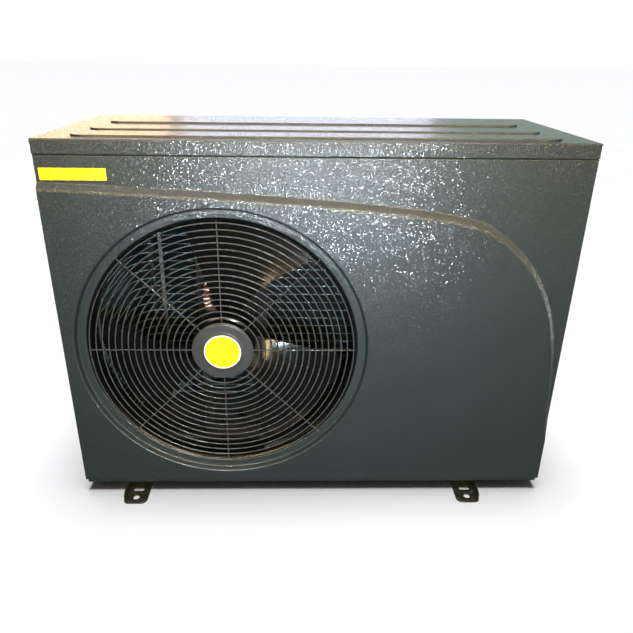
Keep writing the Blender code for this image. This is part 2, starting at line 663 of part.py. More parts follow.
def make_side_panels():
    """The left side is a panel with a window for the coil, and a short one above it with the handle. The
    right side is a panel with holes for the two water ports, and a service panel above it, which has the
    handle and the cable's hole and comes off in front of the electrical box."""
    split = TOP - HANDLE_BELOW_TOP - HANDLE_SIZE[1] / 2 - LEFT_SEAM
    at = (LEFT + SHEET / 2, 0, 0)
    plate("left_panel", side_outline(BOTTOM, split - GAP / 2), [window_outline(*left_window())], SHEET,
          "dark_paint", at, FACING_SIDE)
    plate("left_top_panel", side_outline(split + GAP / 2, PANEL_TOP), [handle_hole(0)], SHEET, "dark_paint",
          at, FACING_SIDE)
    split = gland_place()[1] - RIGHT_SEAM
    at = (RIGHT - SHEET / 2, 0, 0)
    holes = [circle(PORT_OUTER + 0.001, 24, (EXCHANGER_Y, ON_PAN + height)) for height in PORT_HEIGHTS]
    plate("right_panel", side_outline(BOTTOM, split - GAP / 2), holes, SHEET, "dark_paint", at, FACING_SIDE)
    gland_hole = circle(GLAND_RADIUS + 0.0005, 16, gland_place())
    plate("service_panel", side_outline(split + GAP / 2, PANEL_TOP), [handle_hole(0), gland_hole], SHEET,
          "dark_paint", at, FACING_SIDE)


def make_rear_panel():
    """A sheet with a window behind the coil and bent edges at its sides."""
    window = window_outline(*rear_window())
    width = CABINET_WIDTH
    panel = as_mesh(plate("rear_panel", rectangle((-width / 2, BOTTOM), (width / 2, PANEL_TOP)), [window],
                          SHEET, "dark_paint", (0, REAR - SHEET / 2, 0), FACING_FRONT))
    for name, x in (("left", LEFT + SHEET / 2), ("right", RIGHT - SHEET / 2)):
        edge = box(f"rear_{name}_edge", (x - SHEET / 2, REAR - RETURN, BOTTOM),
                   (x + SHEET / 2, REAR, PANEL_TOP), None)
        combine(panel, "UNION", edge)


def slots(low, high, count):
    """Level slots that fill a field, with bars between them."""
    pitch = (high[1] - low[1]) / count
    half = GRILLE_BAR / 2
    return [rectangle((low[0], low[1] + pitch * row + half), (high[0], low[1] + pitch * (row + 1) - half))
            for row in range(count)]


def make_coil_guards():
    """Grilles of level bars that stand between the coil and the windows of the left and rear panels."""
    place_x = LEFT + SHEET + GAP + GRILLE_THICKNESS / 2
    low, high = left_window()
    plate("left_guard", window_outline(low, high, GRILLE_FRAME), slots(low, high, GRILLE_ROWS),
          GRILLE_THICKNESS, "guard_paint", (place_x, 0, 0), FACING_SIDE)
    low, high = rear_window()
    middle = (low[0] + high[0]) / 2
    half = GRILLE_BAR / 2
    holes = slots(low, (middle - half, high[1]), GRILLE_ROWS)
    holes += slots((middle + half, low[1]), high, GRILLE_ROWS)
    plate("rear_guard", window_outline(low, high, GRILLE_FRAME), holes, GRILLE_THICKNESS, "guard_paint",
          (0, REAR - SHEET - GAP - GRILLE_THICKNESS / 2, 0), FACING_FRONT)


def make_partition():
    """The wall between the fan side and the compressor side, bent over at its rear end."""
    low = PAN_FLOOR + GAP
    free = 0.004
    high = PANEL_TOP - free
    front = FRONT + SHEET + free
    rear = COIL_FRONT - 0.003
    wall = box("partition", (PARTITION_X, front, low), (PARTITION_X + SHEET, rear, high), "galvanised")
    bend = box("partition_bend", (PARTITION_X, rear - SHEET, low), (COIL_RIGHT - free, rear, high), None)
    combine(wall, "UNION", bend)
    foot = box("partition_foot", (PARTITION_X, front + 0.010, low),
               (PARTITION_X + PARTITION_FOOT, rear - 0.017, low + SHEET), None)
    combine(wall, "UNION", foot)


def make_handle(name, x, facing):
    """A moulded grip cup whose rim lies on the panel; the hand goes into it from outside."""
    z = TOP - HANDLE_BELOW_TOP
    width, height = HANDLE_SIZE
    edge = 2 * HANDLE_RIM_WIDTH
    wall = HANDLE_WALL
    face = x + facing * GAP
    bottom = x - facing * HANDLE_DEPTH
    cup = as_mesh(plate(name, rounded(width + edge, height + edge, 0.010), [], HANDLE_RIM, "black_plastic",
                        (face + facing * HANDLE_RIM / 2, 0, z), FACING_SIDE))
    length = HANDLE_DEPTH + GAP + HANDLE_RIM / 2
    body = as_mesh(plate(name + "_body", rounded(width, height, HANDLE_CORNER, steps=2), [], length, None,
                         (bottom + facing * length / 2, 0, z), FACING_SIDE))
    combine(cup, "UNION", body)
    inside = rounded(width - 2 * wall, height - 2 * wall, HANDLE_CORNER - wall, steps=2)
    depth = HANDLE_DEPTH + edge
    hollow = as_mesh(plate(name + "_hollow", inside, [], depth, None,
                           (bottom + facing * (wall + depth / 2), 0, z), FACING_SIDE))
    combine(cup, "DIFFERENCE", hollow)


def gland_place():
    return (REAR - GLAND_FROM_REAR, TOP - GLAND_BELOW_TOP)


def make_cable_gland():
    """A nut and a thread through the right panel, bored for the supply cable."""
    y, z = gland_place()
    bore = GLAND_BORE
    profile = [(bore, 0.020), (0.0095, 0.020), (0.0125, 0.014), (0.0145, 0.012), (0.0145, GAP),
               (GLAND_RADIUS, GAP), (GLAND_RADIUS, -0.014), (bore, -0.014)]
    turned("cable_gland", profile, (RIGHT, y, z), "X", "black_plastic", 18, True)


# ---- Air side -----------------------------------------------------------------------------------
def make_fan_shroud():
    """A ring with a flange behind the recess, a rounded mouth and a throat round the blades."""
    start = FLOOR + SHEET + GAP
    mouth = OPENING_RADIUS + SHEET + 0.004
    wall = SHROUD_WALL
    outer = [(SHROUD_THROAT + wall, SHROUD_DEPTH)]
    inner = [(mouth, 0.0), (mouth, LIP), (SHROUD_THROAT + 0.002, SHROUD_MOUTH),
             (SHROUD_THROAT, SHROUD_DEPTH)]
    outer += [(SHROUD_THROAT + wall + 0.002, SHROUD_MOUTH), (mouth + wall, LIP), (mouth + wall, wall),
              (SHROUD_FLANGE, wall), (SHROUD_FLANGE, 0.0)]
    turned("fan_shroud", outer + inner, (FAN_X, start, FAN_Z), "Y", "black_plastic", 32, True)


def guard_outline():
    """The outer ring of the guard, with the ends of every second spoke standing out from it."""
    outer = GUARD_RADIUS + WIRE / 2
    points = []
    for quarter in range(4):
        spoke = math.tau / 8 + quarter * math.tau / 4
        half = WIRE / 2 / outer
        far = WIRE / 2 / SPOKE_END
        points += circle(outer, 4, start=spoke - math.tau / 4 + half, turn=math.tau / 4 - 2 * half)
        points += circle(SPOKE_END, 1, start=spoke - far, turn=2 * far)
    return points


def make_fan_guard():
    """Seventeen wire rings on eight spokes; every second spoke runs out to the recess, where it is fixed.
    Rings and spokes are one flat grille, pierced by the spaces between them."""
    pitch = (GUARD_RADIUS - GUARD_HUB_RING) / (GUARD_RINGS - 1)
    half = WIRE / 2
    holes = []
    for number in range(GUARD_RINGS - 1):
        outer = GUARD_RADIUS - pitch * number - half
        inner = outer - pitch + WIRE
        steps = 2 if number < 9 else 1
        for sector in range(GUARD_SPOKES):
            start = math.tau * sector / GUARD_SPOKES
            clear_out = half / outer
            clear_in = half / inner
            turn = math.tau / GUARD_SPOKES
            hole = circle(outer, steps, start=start + clear_out, turn=turn - 2 * clear_out)
            hole += reversed(circle(inner, steps, start=start + clear_in, turn=turn - 2 * clear_in))
            holes.append(hole)
    front = RING_Y - half
    back = FLOOR - GAP
    holes.append(circle(GUARD_HUB_RING - half, GUARD_SPOKES))
    plate("fan_guard", guard_outline(), holes, back - front, "guard_paint",
          (FAN_X, (front + back) / 2, FAN_Z), FACING_FRONT)


def make_guard_plate_and_labels():
    """A shallow pressed disc over the inner ends of the spokes, with its round label, and the bar label."""
    rings_front = RING_Y - WIRE / 2
    back = rings_front - GAP
    front = back - GUARD_PLATE_RIM
    radius = GUARD_PLATE_RADIUS
    profile = [(0, 0), (radius, 0), (radius, -0.0014), (radius - 0.004, -GUARD_PLATE_RIM),
               (0, -GUARD_PLATE_RIM)]
    turned("guard_plate", profile, (FAN_X, back, FAN_Z), "Y", "guard_paint", 32)
    cylinder("guard_label", LABEL_RADIUS, LABEL_THICKNESS, (FAN_X, front - GAP - LABEL_THICKNESS, FAN_Z),
             "Y", "yellow_film", 40)
    width, height = FRONT_LABEL
    left = LEFT + FRONT_LABEL_FROM_LEFT
    high = TOP - FRONT_LABEL_FROM_TOP
    box("front_label", (left, FRONT - GAP - LABEL_THICKNESS, high - height),
        (left + width, FRONT - GAP, high), "yellow_film")


def make_fan():
    """Three broad pitched blades on a hub that is open at the rear, on the motor's axis."""
    radius = FAN_HUB_RADIUS
    depth = FAN_HUB_DEPTH
    wall = FAN_HUB_WALL
    boss = FAN_HUB_BOSS
    boss_end = depth - 0.020
    bore = SHAFT_RADIUS + GAP
    profile = [(bore, boss_end), (boss, boss_end), (boss, wall), (radius - wall, wall),
               (radius - wall, depth), (radius, depth), (radius, wall), (radius - wall, 0), (bore, 0)]
    fan = turned("fan", list(reversed(profile)), (FAN_X, FAN_FRONT, FAN_Z), "Y", "black_plastic", 24, True)
    for number in range(FAN_BLADES):
        blade = blade_object(f"blade_{number + 1}", FIRST_BLADE + math.tau * number / FAN_BLADES)
        combine(fan, "UNION", blade)


def blade_object(name, angle):
    """A blade as a sheet between its leading and trailing edges, given its thickness by a modifier."""
    rows = 4
    columns = 4
    shape = bmesh.new()
    grid = []
    inner = FAN_HUB_RADIUS - 0.0025
    for row in range(rows + 1):
        share = row / rows
        radius = inner + (FAN_RADIUS - inner) * share
        span = BLADE_SPAN[0] + (BLADE_SPAN[1] - BLADE_SPAN[0]) * share ** 1.5
        lead = BLADE_LEAD * share
        height = BLADE_PITCH * (1 - 0.15 * share)
        line = []
        for column in range(columns + 1):
            along = column / columns - 0.5
            turn = angle + lead + span * along
            camber = BLADE_CAMBER * (1 - 4 * along * along)
            y = FAN_FRONT + FAN_HUB_DEPTH / 2 + height * along + camber
            line.append(shape.verts.new((FAN_X + radius * math.cos(turn), y,
                                         FAN_Z + radius * math.sin(turn))))
        grid.append(line)
    for one, other in zip(grid, grid[1:]):
        for column in range(columns):
            shape.faces.new([one[column], one[column + 1], other[column + 1], other[column]])
    mesh = mesh_of(shape, name)
    blade = place(name, mesh, None)
    solidify = blade.modifiers.new("thickness", "SOLIDIFY")
    solidify.thickness = BLADE_THICKNESS
    solidify.offset = 0
    return blade


def make_motor():
    """The shaft carries the fan and turns inside the motor; a flat frame behind holds the motor up."""
    shaft_front = FAN_FRONT - SHAFT_BEYOND_FAN
    shaft_length = MOTOR_REAR - 0.006 - shaft_front
    cylinder("motor_shaft", SHAFT_RADIUS, shaft_length, (FAN_X, shaft_front, FAN_Z), "Y", "steel", 16)
    nut_radius, nut_thickness = FAN_NUT
    nut_front = FAN_FRONT - GAP - nut_thickness
    nut = cylinder("fan_nut", nut_radius, nut_thickness, (FAN_X, nut_front, FAN_Z), "Y", "steel", 6)
    hole = cylinder("nut_hole", SHAFT_RADIUS + GAP, 2 * nut_thickness,
                    (FAN_X, nut_front - nut_thickness / 2, FAN_Z), "Y", None, 16)
    combine(nut, "DIFFERENCE", hole)
    length = MOTOR_LENGTH
    bore = SHAFT_RADIUS + SHAFT_CLEARANCE
    radius = MOTOR_RADIUS
    shoulder = MOTOR_SHOULDER
    bore_end = length - 0.005
    profile = [(0, length), (radius - 0.010, length), (radius - 0.002, length - shoulder + 0.002),
               (radius, length - shoulder), (radius, shoulder + 0.002), (radius - 0.002, shoulder),
               (radius - shoulder, 0.002), (0.018, 0), (bore, 0), (bore, bore_end), (0, bore_end)]
    turned("fan_motor", profile, (FAN_X, MOTOR_FRONT, FAN_Z), "Y", "black_paint", 20)
    low = PAN_FLOOR + GAP
    high = PANEL_TOP - 0.006
    half = BRACKET_WIDTH / 2
    inner = half - BRACKET_RAIL
    cross = 0.016
    windows = [rectangle((FAN_X - inner, low + cross), (FAN_X + inner, FAN_Z - BRACKET_PLATE)),
               rectangle((FAN_X - inner, FAN_Z + BRACKET_PLATE), (FAN_X + inner, high - cross))]
    outline = rectangle((FAN_X - half, low), (FAN_X + half, high))
    plate("motor_bracket", outline, windows, BRACKET_THICKNESS, "black_paint",
          (0, MOTOR_REAR + GAP + BRACKET_THICKNESS / 2, 0), FACING_FRONT)


# ---- Coil ---------------------------------------------------------------------------------------
def coil_outline(inset=0.0):
    """The coil from above: a run along the left side, a bend, and a run along the rear."""
    inner = COIL_BEND
    outer = COIL_BEND + COIL_THICKNESS
    centre = (COIL_LEFT + outer, COIL_REAR - outer)
    front = FRONT + COIL_LEFT_END
    outside = circle(outer, 5, centre, math.pi, -math.pi / 2)
    inside = circle(inner, 5, centre, math.pi / 2, math.pi / 2)
    return [(COIL_LEFT, front + inset), *outside, (COIL_RIGHT - inset, COIL_REAR),
            (COIL_RIGHT - inset, COIL_FRONT), *inside, (COIL_LEFT + COIL_THICKNESS, front + inset)]


def make_coil():
    """The fin block between two end plates, the vertical header with its tails, and a return bend."""
    height = COIL_HIGH - COIL_LOW
    middle = (COIL_HIGH + COIL_LOW) / 2
    plate("coil_fins", coil_outline(END_PLATE + GAP), [], height, "blue_fins", (0, 0, middle))
    box("coil_end_plate_right", (COIL_RIGHT - END_PLATE, COIL_FRONT, COIL_LOW),
        (COIL_RIGHT, COIL_REAR, COIL_HIGH), "galvanised")
    front = FRONT + COIL_LEFT_END
    box("coil_end_plate_left", (COIL_LEFT, front, COIL_LOW),
        (COIL_LEFT + COIL_THICKNESS, front + END_PLATE, COIL_HIGH), "galvanised")
    x = header_x()
    y = header_y()
    header_low = header_ends()[0]
    header_length = header_ends()[1] - header_low
    header = cylinder("coil_header", HEADER_RADIUS, header_length, (x, y, header_low), "Z", "copper", 12)
    start = COIL_RIGHT + GAP
    pitch = (header_length - 2 * TAIL_MARGIN) / (HEADER_TAILS - 1)
    tails = [header_low + TAIL_MARGIN + pitch * number for number in range(HEADER_TAILS)]
    for number, z in enumerate(tails, 1):
        tail = cylinder(f"header_tail_{number}", TAIL_RADIUS, x - start, (start, y, z), "X", None, 8)
        combine(header, "UNION", tail)
    reach, rise, bend = RETURN_BEND
    z = tails[RETURN_BEND_TAIL]
    bend_y = COIL_REAR - 0.008
    ends = [(start, bend_y, z), (start + reach, bend_y, z), (start + reach, bend_y, z + rise),
            (start, bend_y, z + rise)]
    tube("return_bend", route(ends, bend), TAIL_RADIUS, "copper")


def header_x():
    return COIL_RIGHT + HEADER_FROM_COIL[0]


def header_y():
    return COIL_FRONT + HEADER_FROM_COIL[1]


def header_ends():
    return COIL_LOW + HEADER_MARGIN[0], COIL_HIGH - HEADER_MARGIN[1]


# ---- Refrigerant side ---------------------------------------------------------------------------
def make_compressor():
    """A hermetic can on a three-armed foot, with its accumulator, terminal cover, grommets and bolts."""
    x = COMPRESSOR_X
    y = COMPRESSOR_Y
    radius = COMPRESSOR_RADIUS
    low = COMPRESSOR_LOW
    height = COMPRESSOR_HEIGHT
    profile = [(0, height), (radius * 0.45, height - 0.003), (radius * 0.82, height - 0.018),
               (radius * 0.97, height - 0.040), (radius, height - 0.052), (radius, 0.030),
               (radius * 0.93, 0.012), (radius * 0.70, 0.001), (0, 0.001)]
    can = turned("compressor", profile, (x, y, low), "Z", "black_paint", 20)
    arms = [math.radians(90 + 120 * number) for number in range(3)]
    centres = [(math.cos(arm) * MOUNT_CIRCLE, math.sin(arm) * MOUNT_CIRCLE) for arm in arms]
    grommet_radius, grommet_height = GROMMET
    outline = []
    for arm, centre in zip(arms, centres):
        outline += circle(grommet_radius, 4, centre, arm - math.pi / 2, math.pi)
    holes = [circle(BOLT_RADIUS + 0.0015, 8, centre) for centre in centres]
    foot = as_mesh(plate("compressor_foot", outline, holes, MOUNT_SHEET, None,
                         (x, y, low + MOUNT_SHEET / 2)))
    combine(can, "UNION", foot)
    head_radius, head_height = BOLT_HEAD
    hole = BOLT_RADIUS + GAP
    seat = grommet_height + 2 * GAP + MOUNT_SHEET
    for number, centre in enumerate(centres, 1):
        place_at = (x + centre[0], y + centre[1], ON_PAN)
        profile = [(grommet_radius, grommet_height), (grommet_radius * 0.8, grommet_height / 2),
                   (grommet_radius, 0), (hole, 0), (hole, grommet_height)]
        turned(f"compressor_grommet_{number}", profile, place_at, "Z", "rubber", 10, True)
        profile = [(0, seat + head_height), (head_radius, seat + head_height), (head_radius, seat),
                   (BOLT_RADIUS, seat), (BOLT_RADIUS, 0.001), (0, 0.001)]
        turned(f"compressor_bolt_{number}", profile, place_at, "Z", "steel", 8)
    cover_at = (x + TERMINAL_OFFSET, y - TERMINAL_OFFSET, low + height + GAP)
    cylinder("terminal_cover", *TERMINAL_COVER, cover_at, "Z", "black_plastic", 16, TERMINAL_COVER[0] * 0.82)
    radius = ACCUMULATOR_RADIUS
    height = ACCUMULATOR_HEIGHT
    profile = [(0, height), (0.007, height), (0.007, height - 0.010), (radius * 0.7, height - 0.018),
               (radius, height - 0.034), (radius, 0.030), (radius * 0.7, 0.008), (0, 0)]
    turned("accumulator", profile, (*accumulator_place(), low + ACCUMULATOR_LOW), "Z", "black_paint", 16)


def accumulator_place():
    apart = COMPRESSOR_RADIUS + ACCUMULATOR_RADIUS + ACCUMULATOR_APART
    return (COMPRESSOR_X + math.cos(ACCUMULATOR_TURN) * apart,
            COMPRESSOR_Y + math.sin(ACCUMULATOR_TURN) * apart)


def make_reversing_valve_and_pipes():
    """The four-way valve above the compressor and the pipes that join it to the rest."""
    valve_z = BOX_LOW - VALVE_BELOW_BOX
    valve_y = COMPRESSOR_Y + VALVE_FROM_COMPRESSOR
    x = COMPRESSOR_X
    radius, half = VALVE
    stub_radius, stub = VALVE_STUB
    valve = cylinder("reversing_valve", radius, 2 * half, (x - half, valve_y, valve_z), "X", "brass", 16)
    discharge = cylinder("valve_discharge", stub_radius, stub, (x, valve_y, valve_z), "Z", None, 10)
    combine(valve, "UNION", discharge)
    left = x - VALVE_PORTS
    right = x + VALVE_PORTS
    for name, port_x in (("valve_coil", left), ("valve_suction", x), ("valve_exchanger", right)):
        port = cylinder(name, stub_radius, stub, (port_x, valve_y, valve_z - stub), "Z", None, 10)
        combine(valve, "UNION", port)
    above = valve_z + stub + GAP
    below = valve_z - stub - GAP
    rise = above + 0.020
    out_x = x + DISCHARGE_FROM[0]
    out_y = COMPRESSOR_Y + DISCHARGE_FROM[1]
    corners = [(out_x, out_y, COMPRESSOR_LOW + COMPRESSOR_HEIGHT - 0.006), (out_x, out_y, rise),
               (x, valve_y, rise), (x, valve_y, above)]
    tube("discharge_pipe", route(corners, PIPE_BEND), PIPE_RADIUS, "copper")
    drop = below - 0.045
    ax, ay = accumulator_place()
    inlet = COMPRESSOR_LOW + ACCUMULATOR_LOW + ACCUMULATOR_HEIGHT + GAP
    corners = [(x, valve_y, below), (x, valve_y, drop), (ax, ay, drop), (ax, ay, inlet)]
    tube("suction_pipe", route(corners, PIPE_BEND), SUCTION_RADIUS, "copper")
    head_x = header_x()
    head_y = header_y()
    head_top = header_ends()[1]
    side_y = head_y - 0.030
    level = below - 0.050
    over = head_top + 0.025
    corners = [(left, valve_y, below), (left, valve_y, level), (left, side_y, level), (left, side_y, over),
               (head_x, head_y, over), (head_x, head_y, head_top + GAP)]
    tube("coil_gas_pipe", route(corners, SMALL_BEND), PIPE_RADIUS, "copper")
    near = EXCHANGER_X - TITANIUM_COIL
    level = below - 0.016
    corners = [(right, valve_y, below), (right, valve_y, level), (right, EXCHANGER_Y, level),
               (near, EXCHANGER_Y, level), (near, EXCHANGER_Y, titanium_top() + GAP)]
    tube("exchanger_gas_pipe", route(corners, SMALL_BEND), PIPE_RADIUS, "copper")


def titanium_top():
    return EXCHANGER_TOP + TITANIUM_ABOVE_LID


def make_exchanger():
    """A plastic vessel with two side ports, closed by a lid that the titanium coil passes through."""
    x = EXCHANGER_X
    y = EXCHANGER_Y
    outer = EXCHANGER_RADIUS
    wall = EXCHANGER_WALL
    inner = outer - wall
    rim = outer + LID_OVERHANG
    height = EXCHANGER_HEIGHT - LID_THICKNESS
    profile = [(0, height), (rim, height), (rim, height - 0.012), (outer, height - 0.014), (outer, 0.004),
               (outer - 0.004, 0), (0, 0)]
    vessel = turned("exchanger_vessel", profile, (x, y, EXCHANGER_LOW), "Z", "grey_pvc", 24)
    inside = cylinder("vessel_inside", inner, height, (x, y, EXCHANGER_LOW + wall), "Z", None, 24)
    combine(vessel, "DIFFERENCE", inside)
    start = x + inner + 0.001
    reach = RIGHT + PORT_REACH - start
    for name, height_above in (("low", PORT_HEIGHTS[0]), ("high", PORT_HEIGHTS[1])):
        z = ON_PAN + height_above
        port = cylinder(f"port_{name}", PORT_OUTER, reach, (start, y, z), "X", None, 20)
        bore = cylinder(f"port_{name}_bore", PORT_BORE, 2 * reach, (start - 0.021, y, z), "X", None, 20)
        combine(vessel, "UNION", port)
        combine(vessel, "DIFFERENCE", bore)
    lid_low = EXCHANGER_LOW + height + GAP
    lid = cylinder("exchanger_lid", rim, LID_THICKNESS, (x, y, lid_low), "Z", "grey_pvc", 32)
    left = x - TITANIUM_COIL
    right = x + TITANIUM_COIL
    for name, hole_x in (("left", left), ("right", right)):
        hole = cylinder(f"lid_hole_{name}", TITANIUM_RADIUS + 0.0012, 3 * LID_THICKNESS,
                        (hole_x, y, lid_low - LID_THICKNESS), "Z", None, 12)
        combine(lid, "DIFFERENCE", hole)
    low = EXCHANGER_LOW + 0.045
    high = EXCHANGER_LOW + height - 0.060
    top = titanium_top()
    steps = 10
    last = TITANIUM_TURNS * steps + steps // 2
    points = [(right, y, top), (right, y, high + 0.014)]
    for step in range(last + 1):
        angle = math.tau * step / steps
        z = high - (high - low) * step / last
        points.append((x + TITANIUM_COIL * math.cos(angle), y + TITANIUM_COIL * math.sin(angle), z))
    return_x = x - TITANIUM_COIL * 0.3
    points += [(x - TITANIUM_COIL * 0.6, y, low - 0.010), (return_x, y, low + 0.004),
               (return_x, y, high + 0.006), (left, y, high + 0.030), (left, y, top)]
    tube("titanium_coil", points, TITANIUM_RADIUS, "titanium")


def make_union(name, height_above):
    """A ribbed nut that turns freely round the port and holds the flange of a socket for the pool pipe."""
    y = EXCHANGER_Y
    z = ON_PAN + height_above
    flange_start = PORT_REACH + GAP
    flange_end = flange_start + FLANGE_THICKNESS
    seat = flange_end + SOCKET_SEAT
    profile = [(TAIL_OUTER, TAIL_REACH), (TAIL_OUTER, flange_end), (FLANGE_OUTER, flange_end),
               (FLANGE_OUTER, flange_start), (PORT_BORE, flange_start), (PORT_BORE, seat),
               (SOCKET_RADIUS, seat), (SOCKET_RADIUS, TAIL_REACH)]
    turned(f"{name}_tailpiece", profile, (RIGHT, y, z), "X", "grey_pvc", 20, True)
    lip = TAIL_OUTER + NUT_CLEARANCE + 0.0005
    lip_start = flange_end + 0.0005
    end = lip_start + NUT_LIP
    outline = []
    rib_top, rib_foot = NUT_RIB
    for rib in range(NUT_RIBS):
        middle = math.tau * rib / NUT_RIBS
        valley = math.tau / NUT_RIBS - 2 * rib_foot
        outline += circle(NUT_RADIUS, 1, start=middle - rib_top, turn=2 * rib_top)
        outline += circle(NUT_RADIUS - NUT_RIB_HEIGHT, 1, start=middle + rib_foot, turn=valley)
    nut = as_mesh(plate(f"{name}_union_nut", outline, [circle(lip, 20)], end - NUT_WALL_START, "grey_pvc",
                        (RIGHT + (end + NUT_WALL_START) / 2, y, z), AXES["X"]))
    beyond = 0.005
    hollow = cylinder(f"{name}_nut_hollow", FLANGE_OUTER + NUT_CLEARANCE,
                      lip_start - NUT_WALL_START + beyond,
                      (RIGHT + NUT_WALL_START - beyond, y, z), "X", None, 20)
    combine(nut, "DIFFERENCE", hollow)


def make_liquid_line():
    """The expansion valve on the liquid line between the exchanger and the coil."""
    x = COIL_RIGHT + EXPANSION_FROM_COIL[0]
    y = COIL_FRONT - EXPANSION_FROM_COIL[1]
    z = COIL_LOW + EXPANSION_FROM_COIL[2]
    stub_radius, stub = EXPANSION_STUB
    valve = cylinder("expansion_valve", *EXPANSION, (x, y, z), "Z", "brass", 14)
    inlet = cylinder("expansion_stub", stub_radius, stub + 0.010, (x, y, z - stub), "Z", None, 10)
    combine(valve, "UNION", inlet)
    side = cylinder("expansion_outlet", *EXPANSION_OUTLET, (x, y, z + EXPANSION[1] / 4), "Y", None, 10)
    combine(valve, "UNION", side)
    level = COIL_LOW + 0.018
    head_x = header_x()
    head_y = header_y()
    corners = [(x, y, z - stub - GAP), (x, y, level), (head_x, head_y, level),
               (head_x, head_y, header_ends()[0] - GAP)]
    tube("liquid_pipe", route(corners, 0.010), PIPE_RADIUS, "copper")


# ---- Electrical side ----------------------------------------------------------------------------
def make_electrical():
    """A steel tray under the cover with a lid, and the board, contactor and capacitor in it."""
    low = (BOX_LEFT, BOX_FRONT, BOX_LOW)
    high = (BOX_RIGHT, BOX_REAR, BOX_HIGH - SHEET - GAP)
    tray = box("electrical_box", low, high, "galvanised")
    hollow = box("tray_hollow", (low[0] + SHEET, low[1] + SHEET, low[2] + SHEET),
                 (high[0] - SHEET, high[1] - SHEET, high[2] + 0.010), None)
    combine(tray, "DIFFERENCE", hollow)
    box("electrical_cover", (low[0], low[1], BOX_HIGH - SHEET), (high[0], high[1], BOX_HIGH), "galvanised")
    floor = BOX_LOW + SHEET + GAP
    margin = 0.010
    length, thickness, above = BOARD
    board_left = BOX_LEFT + margin
    board_low = floor + above
    box("control_board", (board_left, BOX_FRONT + margin, board_low),
        (board_left + length, BOX_REAR - margin, board_low + thickness), "circuit_board")
    start = Vector((board_left + length + 0.015, BOX_FRONT + margin + 0.002, floor))
    box("contactor", start, start + Vector(CONTACTOR), "pale_plastic", 0.002)
    radius, height = CAPACITOR
    cylinder("run_capacitor", radius, height, (BOX_RIGHT - 0.035, BOX_REAR - 0.035, floor), "Z", "steel", 20)


def make_all():
    make_base_pan()
    left_foot = LEFT + FOOT_FROM_LEFT
    right_foot = RIGHT - FOOT_FROM_RIGHT
    make_foot("foot_left", left_foot, -1)
    make_foot("foot_right", right_foot, 1)
    make_drain_spout()
    make_front_panel()
    make_top_cover()
    make_side_panels()
    make_rear_panel()
    make_coil_guards()
    make_partition()
    make_handle("handle_left", LEFT, -1)
    make_handle("handle_right", RIGHT, 1)
    make_cable_gland()
    make_fan_shroud()
    make_fan_guard()
    make_guard_plate_and_labels()
    make_fan()
    make_motor()
    make_coil()
    make_compressor()
    make_reversing_valve_and_pipes()
    make_exchanger()
    make_union("inlet", PORT_HEIGHTS[0])
    make_union("outlet", PORT_HEIGHTS[1])
    make_liquid_line()
    make_electrical()


make_all()
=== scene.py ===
"""Looks of a pool heat pump that blows its air out of the front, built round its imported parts.
Metres, +Z up, the front faces -Y. Every piece takes its place from the box of the part it dresses."""
import json
import math
import bmesh
import bpy
from mathutils import Matrix, Vector


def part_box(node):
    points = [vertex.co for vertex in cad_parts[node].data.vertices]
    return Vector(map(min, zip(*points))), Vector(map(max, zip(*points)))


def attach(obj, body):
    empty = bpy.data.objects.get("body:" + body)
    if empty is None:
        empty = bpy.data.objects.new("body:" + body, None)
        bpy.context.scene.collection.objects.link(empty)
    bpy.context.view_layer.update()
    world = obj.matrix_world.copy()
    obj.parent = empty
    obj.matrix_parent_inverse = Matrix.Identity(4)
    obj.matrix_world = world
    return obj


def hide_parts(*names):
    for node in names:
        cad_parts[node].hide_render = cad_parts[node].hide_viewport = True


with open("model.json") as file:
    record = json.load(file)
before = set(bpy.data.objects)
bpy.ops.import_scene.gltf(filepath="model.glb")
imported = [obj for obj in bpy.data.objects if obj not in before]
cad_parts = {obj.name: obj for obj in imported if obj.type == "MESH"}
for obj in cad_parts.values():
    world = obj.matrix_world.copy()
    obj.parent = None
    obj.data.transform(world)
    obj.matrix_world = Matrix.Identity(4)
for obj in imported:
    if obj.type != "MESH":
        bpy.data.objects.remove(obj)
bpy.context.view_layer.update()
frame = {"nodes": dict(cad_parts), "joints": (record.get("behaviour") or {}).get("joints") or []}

MM = 0.001
BODY = "cabinet"
nodes = frame["nodes"]
axes = {joint["name"]: Vector(joint["pos_m"]) for joint in frame["joints"]}
fan_axis = axes["fan_spin"]

# ---- Sizes of the finer shapes, in millimetres -----------------------------------------------------
SHEET = 1.2 * MM
STEP = 8 * MM
SWEEP_START = 83 * MM
SWEEP_END = 85 * MM
SWEEP_JOINT = (173 * MM, 154 * MM)
SWEEP_FLAT = ((273 * MM, 94 * MM), (231 * MM, 118 * MM))
SWEEP_SIDE = ((-12 * MM, 265 * MM), (28 * MM, 220 * MM))
BAND_WIDTH = (11 * MM, 15 * MM, 15 * MM, 6 * MM)
SWEEP_STEPS = 90
EDGE_BEND = 1.6 * MM
RECESS_RADIUS = 276 * MM
RECESS_DEPTH = 12 * MM
OPENING_RADIUS = 257 * MM
LIP = 8 * MM
ROUND_STEPS = 144
DISC_STEPS = 72
RING_COUNT = 17
GUARD_RADIUS = 251 * MM
HUB_RING = 57.5 * MM
SPOKES = 8
SPOKE_START = 48 * MM
SPOKE_END = 263 * MM
WIRE_RADIUS = 1.25 * MM
RIB_FRONTS = (25 * MM, 117 * MM, 232 * MM)
RIB_WIDTH = 60 * MM
RIB_HEIGHT = 3 * MM
RIB_CORNER = 28 * MM
RIB_INSET = 50 * MM
RIB_STEP_IN = 5 * MM
FIN_PITCH = 2.6 * MM
FIN_SHEET = 0.3 * MM
TUBE_PITCH = 21 * MM
COLLAR = 0.7 * MM
COIL_BEND = 60 * MM
COIL_THICK = 38 * MM
FAN_HUB = 60 * MM
FAN_TIP = 242 * MM
FAN_RIBS = 8
BLADES = 3
FIRST_BLADE = math.radians(88)
